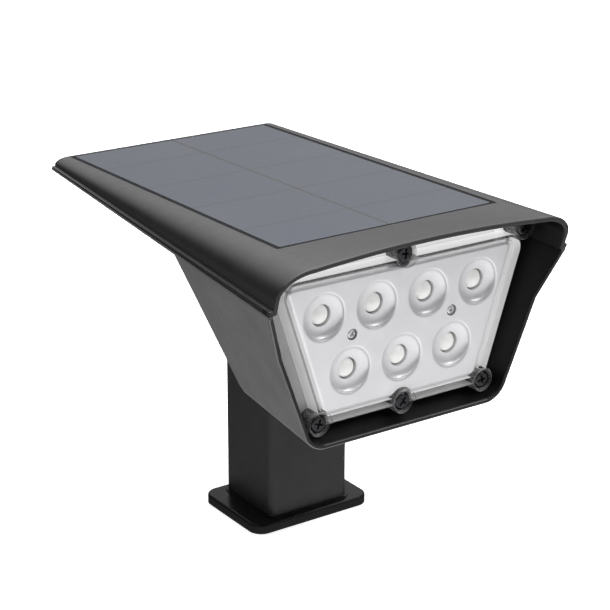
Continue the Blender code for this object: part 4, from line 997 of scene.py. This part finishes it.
def make_reflector():
    back = REFLECTOR_FRONT_Y + REFLECTOR_THICK
    plate = slab("reflector_shell", lens_outline(-LENS_WALL - REFLECTOR_MARGIN), REFLECTOR_FRONT_Y, back,
                 edge=REFLECTOR_ROLL, segments=6)
    steps = 14
    past = 0.08
    mouth = CUP_RADIUS + CUP_LIP
    profile = [(0, 1 * MM), (mouth + 0.3 * MM, 1 * MM), (mouth + 0.3 * MM, 0.002 * MM)]
    for step in range(5):
        turn = math.radians(60) * step / 4
        profile.append((mouth - CUP_LIP * 1.4 * math.sin(turn), -CUP_LIP * 0.7 * (1 - math.cos(turn))))
    start_radius, start_depth = profile[-1]
    for turn in quarter(steps)[1:]:
        profile.append((CUP_THROAT + (start_radius - CUP_THROAT) * math.cos(turn),
                        start_depth - (CUP_DEPTH + start_depth) * math.sin(turn)))
    through = -REFLECTOR_THICK * (1 + past)
    profile += [(CUP_THROAT, through), (0, through)]
    cups = gather("cups", [turned("cup", profile, (x, REFLECTOR_FRONT_Y, z), (0, -1, 0), 64)
                           for x, z in led_places()])
    shank, head_radius, head_height = PLATE_SCREW_SIZE
    seat = head_height + 2 * GAP
    sink = [(0, REACH), (head_radius + GAP, REACH), (head_radius + GAP, -seat), (shank + GAP, -seat),
            (shank + GAP, -REFLECTOR_THICK - REACH), (0, -REFLECTOR_THICK - REACH)]
    x, z = PLATE_SCREW
    sinks = gather("plate_sinks", [turned("sink", sink, (side * x, REFLECTOR_FRONT_Y, z), (0, -1, 0), 32)
                                   for side in (-1, 1)])
    notches = at_lens_screws("notches", BOSS_RADIUS + REFLECTOR_MARGIN,
                             REFLECTOR_FRONT_Y - REACH, back + REACH)
    combine(plate, "DIFFERENCE", cups, sinks, notches)
    finish(plate, [SILVER], "head", "reflector_plate", 35)


def make_leds():
    dome_radius = 3.4 * MM
    dome_top = 2.5 * MM
    for number, (x, z) in enumerate(led_places(), 1):
        low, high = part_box(f"led_{number}")
        body = box(f"led_unit_{number}", low, high, lambda a, b: 0.25 * MM, 3)
        dome = [(0, dome_top)] + arc((0, dome_top - dome_radius), dome_radius, 78, 22, 7)
        dome += [(dome_radius * 0.93, -0.5 * MM), (0, -0.5 * MM)]
        combine(body, "UNION", turned("dome", dome, (x, low.y, z), (0, -1, 0), 32))
        # The dome's faces take the gel look with its painted glow.
        parts = [1 if polygon.center.y < low.y - 0.02 * MM else 0 for polygon in body.data.polygons]
        finish(body, [LED_BODY, LED_GEL], "head", f"led_{number}", faces=parts)


# ---- screws
def make_screw(name, size, seat, direction, length, body, look=BLACK_ZINC):
    """A pan-head screw with a cross recess, its head's seat at seat and its shank along direction."""
    shank, head, height = size
    top = 0.55 * height
    profile = [(0, height)]
    profile += [(head * 0.55 * step / 2, height * (1 - 0.02 * step)) for step in (1, 2)]
    profile += arc((head - top, height - top), top, 75, 0, 6)
    profile += [(head, 0.1 * height), (head * 0.96, 0), (shank, 0), (shank, -length + shank),
                (shank * 0.4, -length), (0, -length)]
    made = turned(f"{name}_turned", profile, (0, 0, 0), (0, 0, 1), 40)
    arm = head * 0.62
    half_slot = shank * 0.24
    deep = height * 0.62
    proud = height * 0.05

    def blade(across, along):
        def corner(sx, sy, sz):
            shrink = 1.0 if sz > 0 else 0.45
            return (sx * (across * shrink if across > along else across),
                    sy * (along * shrink if along > across else along), height + (proud if sz > 0 else -deep))
        return block("recess", corner)
    recesses = [blade(arm, half_slot), blade(half_slot, arm)]
    combine(made, "DIFFERENCE", *recesses)
    turn = Vector((0, 0, 1)).rotation_difference(-Vector(direction)).to_matrix().to_4x4()
    spin = Matrix.Rotation(math.radians(37 * (len(name) % 5) + 12), 4, "Z")
    place(made, Matrix.Translation(seat) @ turn @ spin)
    finish(made, [look], body, name, 35)


def make_screws():
    for name, (x, z) in lens_screw_places().items():
        make_screw(name, LENS_SCREW, (x, HEAD_SEAT_Y - GAP, z), (0, 1, 0), 12 * MM, "head")
    seat = REFLECTOR_FRONT_Y + PLATE_SCREW_SIZE[2] + GAP
    for side, label in ((-1, "left"), (1, "right")):
        make_screw(f"plate_screw_{label}", PLATE_SCREW_SIZE, (side * PLATE_SCREW[0], seat, PLATE_SCREW[1]),
                   (0, 1, 0), 12 * MM, "head", ZINC)
    labels = ("front_left", "front_right", "rear_left", "rear_right")
    for (x, y), label in zip(case_screw_places(), labels):
        name = f"case_screw_{label}"
        low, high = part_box(name)
        head = CASE_SCREW[2]
        make_screw(name, CASE_SCREW, (x, y, low.z + head), (0, 0, 1), high.z - low.z - head, "head")
    for name in ("foot_lock_screw", "knuckle_lock_screw"):
        low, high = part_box(name)
        make_screw(name, LOCK_SCREW, (0, high.y - LOCK_SCREW[2], (low.z + high.z) / 2), (0, -1, 0),
                   high.y - low.y - LOCK_SCREW[2], "base")


# ---- post and foot
def pad(name, half_x, half_y, corner, levels):
    """An upright rounded rectangle. levels lists (inset, height) from its bottom to its top."""
    rings = []
    for inset, height in levels:
        x = half_x - inset
        y = half_y - inset
        outline = rounded([(-x, -y), (x, -y), (x, y), (-x, y)], corner - inset)
        rings.append([Vector((a, b, height)) for a, b in outline])
    return skin(name, rings)


def screw_line(name):
    """The height of a lock screw, and where its tip lies."""
    low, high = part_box(name)
    return (low.z + high.z) / 2, low.y


def make_post():
    low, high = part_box("post_tube")
    tube = box("post_shell", low, high, lambda a, b: POST_CORNER if a[2] != b[2] else 0.3 * MM, 8)
    inner = Vector((POST_WALL, POST_WALL, -REACH))
    bore = box("bore", low + inner, high - inner, lambda a, b: 0.8 * MM if a[2] != b[2] else 0.0, 4)
    heights = [screw_line(name)[0] for name in ("foot_lock_screw", "knuckle_lock_screw")]
    holes = [cylinder("hole", LOCK_SCREW[0] + GAP, (0, high.y - 2 * REACH, z), (0, high.y + REACH, z), 32)
             for z in heights]
    combine(tube, "DIFFERENCE", bore, gather("tube_holes", holes))
    finish(tube, [POST_PLASTIC], "base", "post_tube")


def make_foot():
    low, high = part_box("post_tube")
    foot_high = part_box("foot_flange")[1]
    soft = 0.8 * MM
    levels = [(soft * (1 - math.cos(turn)), soft * (1 - math.sin(turn))) for turn in quarter(4)]
    bottom = [(inset / 3, height / 3) for inset, height in reversed(levels)]
    top = [(inset, FOOT_THICK - height) for inset, height in levels]
    foot = pad("foot_shell", foot_high.x, foot_high.y, FOOT_CORNER, bottom + top)
    collar = COLLAR_WIDTH + GAP
    ridge = [(0, FOOT_THICK / 2)] + [(COLLAR_WIDTH * inset, FOOT_THICK + COLLAR_HEIGHT * height)
                                     for inset, height in ((0, 0.6), (0.15, 0.9), (0.4, 1))]
    seat = [(0, FOOT_THICK), (0, FOOT_THICK + REACH)]
    plug = POST_WALL + GAP
    combine(foot, "UNION", pad("collar", high.x + collar, high.y + collar, POST_CORNER + collar, ridge))
    combine(foot, "DIFFERENCE", pad("tube_seat", high.x + GAP / 2, high.y + GAP / 2, POST_CORNER, seat))
    combine(foot, "UNION", box("spigot", (low.x + plug, low.y + plug, FOOT_THICK / 2),
                               (high.x - plug, high.y - plug, foot_high.z)))
    z, tip = screw_line("foot_lock_screw")
    combine(foot, "DIFFERENCE", cylinder("foot_pilot", LOCK_SCREW[0] + GAP, (0, tip - PILOT_SPARE, z),
                                         (0, high.y, z), 32))
    finish(foot, [FOOT_PLASTIC], "base", "foot_flange")


def make_knuckle():
    post_low, post_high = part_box("post_tube")
    low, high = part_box("post_knuckle")
    cap_low = post_high.z + GAP
    cap_high = cap_low + 2.6 * MM
    knuckle = box("knuckle_shell", (low.x, low.y, cap_low), (high.x, high.y, cap_high),
                  lambda a, b: POST_CORNER if a[2] != b[2] else (0.7 * MM if a[2] > 0 else 0.2 * MM), 8)
    inset = POST_WALL + GAP
    combine(knuckle, "UNION", box("plug", (post_low.x + inset, post_low.y + inset, low.z),
                                  (post_high.x - inset, post_high.y - inset, cap_low + 1 * MM)))
    root = PIVOT_RADIUS + 2 * MM
    outline = [(-root, cap_high - 1 * MM), (root, cap_high - 1 * MM)]
    outline += [(y, PIVOT_Z + z) for y, z in arc((0, 0), PIVOT_RADIUS, 0, 180, 32)]
    combine(knuckle, "UNION", slab("tongue", outline, -TONGUE_HALF, TONGUE_HALF, "X", 0.4 * MM))
    z, tip = screw_line("knuckle_lock_screw")
    side = TONGUE_HALF + REACH
    combine(knuckle, "DIFFERENCE",
            pin("tongue_bore", PIVOT_BOLT / 2 + GAP, -side, side),
            cylinder("knuckle_pilot", LOCK_SCREW[0] + GAP,
                     (0, tip - PILOT_SPARE, z), (0, post_high.y, z), 32))
    finish(knuckle, [POST_PLASTIC], "base", "post_knuckle", 30)


def make_pivot():
    low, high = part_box("pivot_bolt")
    head = 4.3 * MM
    tall = 3.0 * MM
    dome = 1.4 * MM
    tip = 0.4 * MM
    radius = PIVOT_BOLT / 2
    bore = radius + GAP
    seat = low.x + tall
    profile = [(0, tall), (head * 0.5, tall)] + arc((head - dome, tall - dome), dome, 80, 0, 6)
    profile += [(head, 0), (radius, 0), (radius, seat - high.x + tip), (radius - tip, seat - high.x),
                (0, seat - high.x)]
    bolt = turned("bolt_turned", profile, (seat, 0, PIVOT_Z), (-1, 0, 0))
    combine(bolt, "DIFFERENCE", pin("socket", 1.6 * MM, low.x - REACH, low.x + tall / 2, 6))
    finish(bolt, [ZINC], "base", "pivot_bolt", 35)

    low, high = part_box("pivot_nut")
    size = (high.y - low.y) / 2
    nut = pin("nut_hexagon", size, low.x, high.x, 6)
    tall = high.x - low.x
    chamfer = ((0, 1), (0.86, 1), (1.02, 0.8), (1.02, 0.2), (0.86, 0), (0, 0))
    shape = [(size * out, tall * up) for out, up in chamfer]
    combine(nut, "INTERSECT", turned("nut_cone", shape, (low.x, 0, PIVOT_Z), (1, 0, 0)))
    combine(nut, "DIFFERENCE", pin("nut_bore", bore, low.x - REACH, high.x + REACH))
    finish(nut, [ZINC], "base", "pivot_nut", 20)
    for label in ("left", "right"):
        low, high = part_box(f"pivot_washer_{label}")
        outer = (high.y - low.y) / 2
        thick = high.x - low.x
        fine = 0.15 * MM
        ring = [(bore, thick), (outer - fine, thick), (outer, thick - fine), (outer, fine), (outer - fine, 0),
                (bore, 0)]
        washer = turned(f"washer_{label}", ring, (low.x, 0, PIVOT_Z), (1, 0, 0))
        finish(washer, [ZINC], "base", f"pivot_washer_{label}", 35)


# ---- button
def make_button():
    proud = 1.4 * MM
    collar = 1.0 * MM
    top = LAMP_WALL + GAP + collar
    wide = BUTTON_RADIUS + 1.3 * MM
    soft = 0.5 * MM
    profile = [(0, top), (wide, top), (wide, top - collar), (BUTTON_RADIUS, top - collar)]
    profile += [(r, -h) for r, h in arc((BUTTON_RADIUS - soft, proud - soft), soft, 0, 80, 5)]
    dish = ((0.62, 0.05), (0.55, 0.3), (0.3, 0.22), (0, 0.18))
    profile += [(BUTTON_RADIUS * out, deep * MM - proud) for out, deep in dish]
    cap = place(turned("button_shell", profile, (0, 0, 0), (0, 0, 1), 64), button_frame())
    finish(cap, [RUBBER], "button", "button_cap", 35)

    inner = BUTTON_RADIUS + GAP
    outer = 8.4 * MM
    thin = 0.6 * MM
    fine = 0.3 * MM
    ring = [(inner, 0), (outer, 0), (outer, fine - thin), (outer - fine, -thin * 0.9),
            (outer - 2 * fine, -thin), (inner + fine / 2, -thin), (inner, fine / 2 - thin)]
    bezel = place(turned("bezel_ring", ring, (0, 0, -GAP), (0, 0, 1), 64), button_frame())
    finish(bezel, [HOUSING_PLASTIC], "head", "button_bezel", 35)


# ---- what the frame already shapes well
def dress():
    """Give the CAD nodes that stay their materials."""
    looks = {"panel_gasket": RUBBER, "lens_gasket": RUBBER, "led_board": WHITE_BOARD,
             "control_board": GREEN_BOARD, "switch_board": GREEN_BOARD, "mode_switch": HOUSING_PLASTIC,
             "battery_holder": HOUSING_PLASTIC, "battery_cell": CELL_WRAP, "battery_contact_left": BRIGHT,
             "battery_contact_right": BRIGHT}
    for name, made in looks.items():
        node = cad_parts[name]
        node.data.materials.clear()
        node.data.materials.append(made)


# ---- stage and light
def make_floor():
    bm = bmesh.new()
    bmesh.ops.create_circle(bm, cap_ends=True, segments=96, radius=6.0)
    floor = object_from(bm, "floor")
    look = Shader("floor_paper", Specular_IOR_Level=0.2, Emission_Color=(1, 1, 1, 1), Emission_Strength=0.7)
    look.colour(look.noise(3, 2), [(0.3, (0.90, 0.90, 0.90)), (0.7, (0.92, 0.92, 0.92))])
    look.rough(look.noise(40, 2), 0.85, 0.95)
    floor.data.materials.append(look.material)
    floor.visible_diffuse = False
    floor.visible_glossy = False


def make_world():
    """A soft studio: bright above, dark at the sides, with pale light from below and in front."""
    world = bpy.data.worlds.new("studio")
    bpy.context.scene.world = world
    world.use_nodes = True
    sky = Nodes(world.node_tree, "Generated")
    direction = [sky.axis(index) for index in range(3)]

    def brightness(weights, stops):
        """Brightness that follows a weighted sum of the direction's parts."""
        parts = [sky.math("MULTIPLY", part, weight) for part, weight in zip(direction, weights)]
        total = sky.math("ADD", sky.math("ADD", parts[0], parts[1]), parts[2], True)
        return sky.ramp(total, [(position, (value, value, value * 1.01)) for position, value in stops])
    upper = brightness((0.3, 0.25, 1.0), [(0.0, 0.03), (0.4, 0.10), (0.6, 0.55), (0.8, 1.5), (1.0, 1.6)])
    lower = brightness((-0.2, -0.42, -0.8), [(0.0, 0.12), (0.3, 0.65), (0.6, 1.45), (0.9, 1.7)])
    blend = sky.math("ADD", sky.math("MULTIPLY", direction[2], 5.0), 0.5, True)
    sky.link(sky.mix(blend, lower, upper), world.node_tree.nodes["Background"], "Color")


def area_light(name, place_at, look_at, size, power):
    data = bpy.data.lights.new(name, "AREA")
    data.shape = "RECTANGLE"
    data.size, data.size_y = size
    data.energy = power
    light = bpy.data.objects.new(name, data)
    bpy.context.scene.collection.objects.link(light)
    light.location = place_at
    light.rotation_euler = (Vector(look_at) - Vector(place_at)).to_track_quat("-Z", "Y").to_euler()
    light.visible_camera = False


# ---- build
make_camera()
make_hood()
make_panel()
make_housing()
make_lens()
make_reflector()
make_leds()
make_screws()
make_post()
make_foot()
make_knuckle()
make_pivot()
make_button()
dress()
make_floor()
make_world()
area_light("overhead_softbox", (0.3, 0.1, 1.6), (0, 0, 0), (1.8, 1.8), 40.0)
area_light("right_softbox", (0.9, -0.9, 1.0), (0, 0, 0.09), (0.5, 0.5), 5.0)
bpy.context.scene.view_settings.view_transform = "Standard"
bpy.context.scene.view_settings.look = "None"
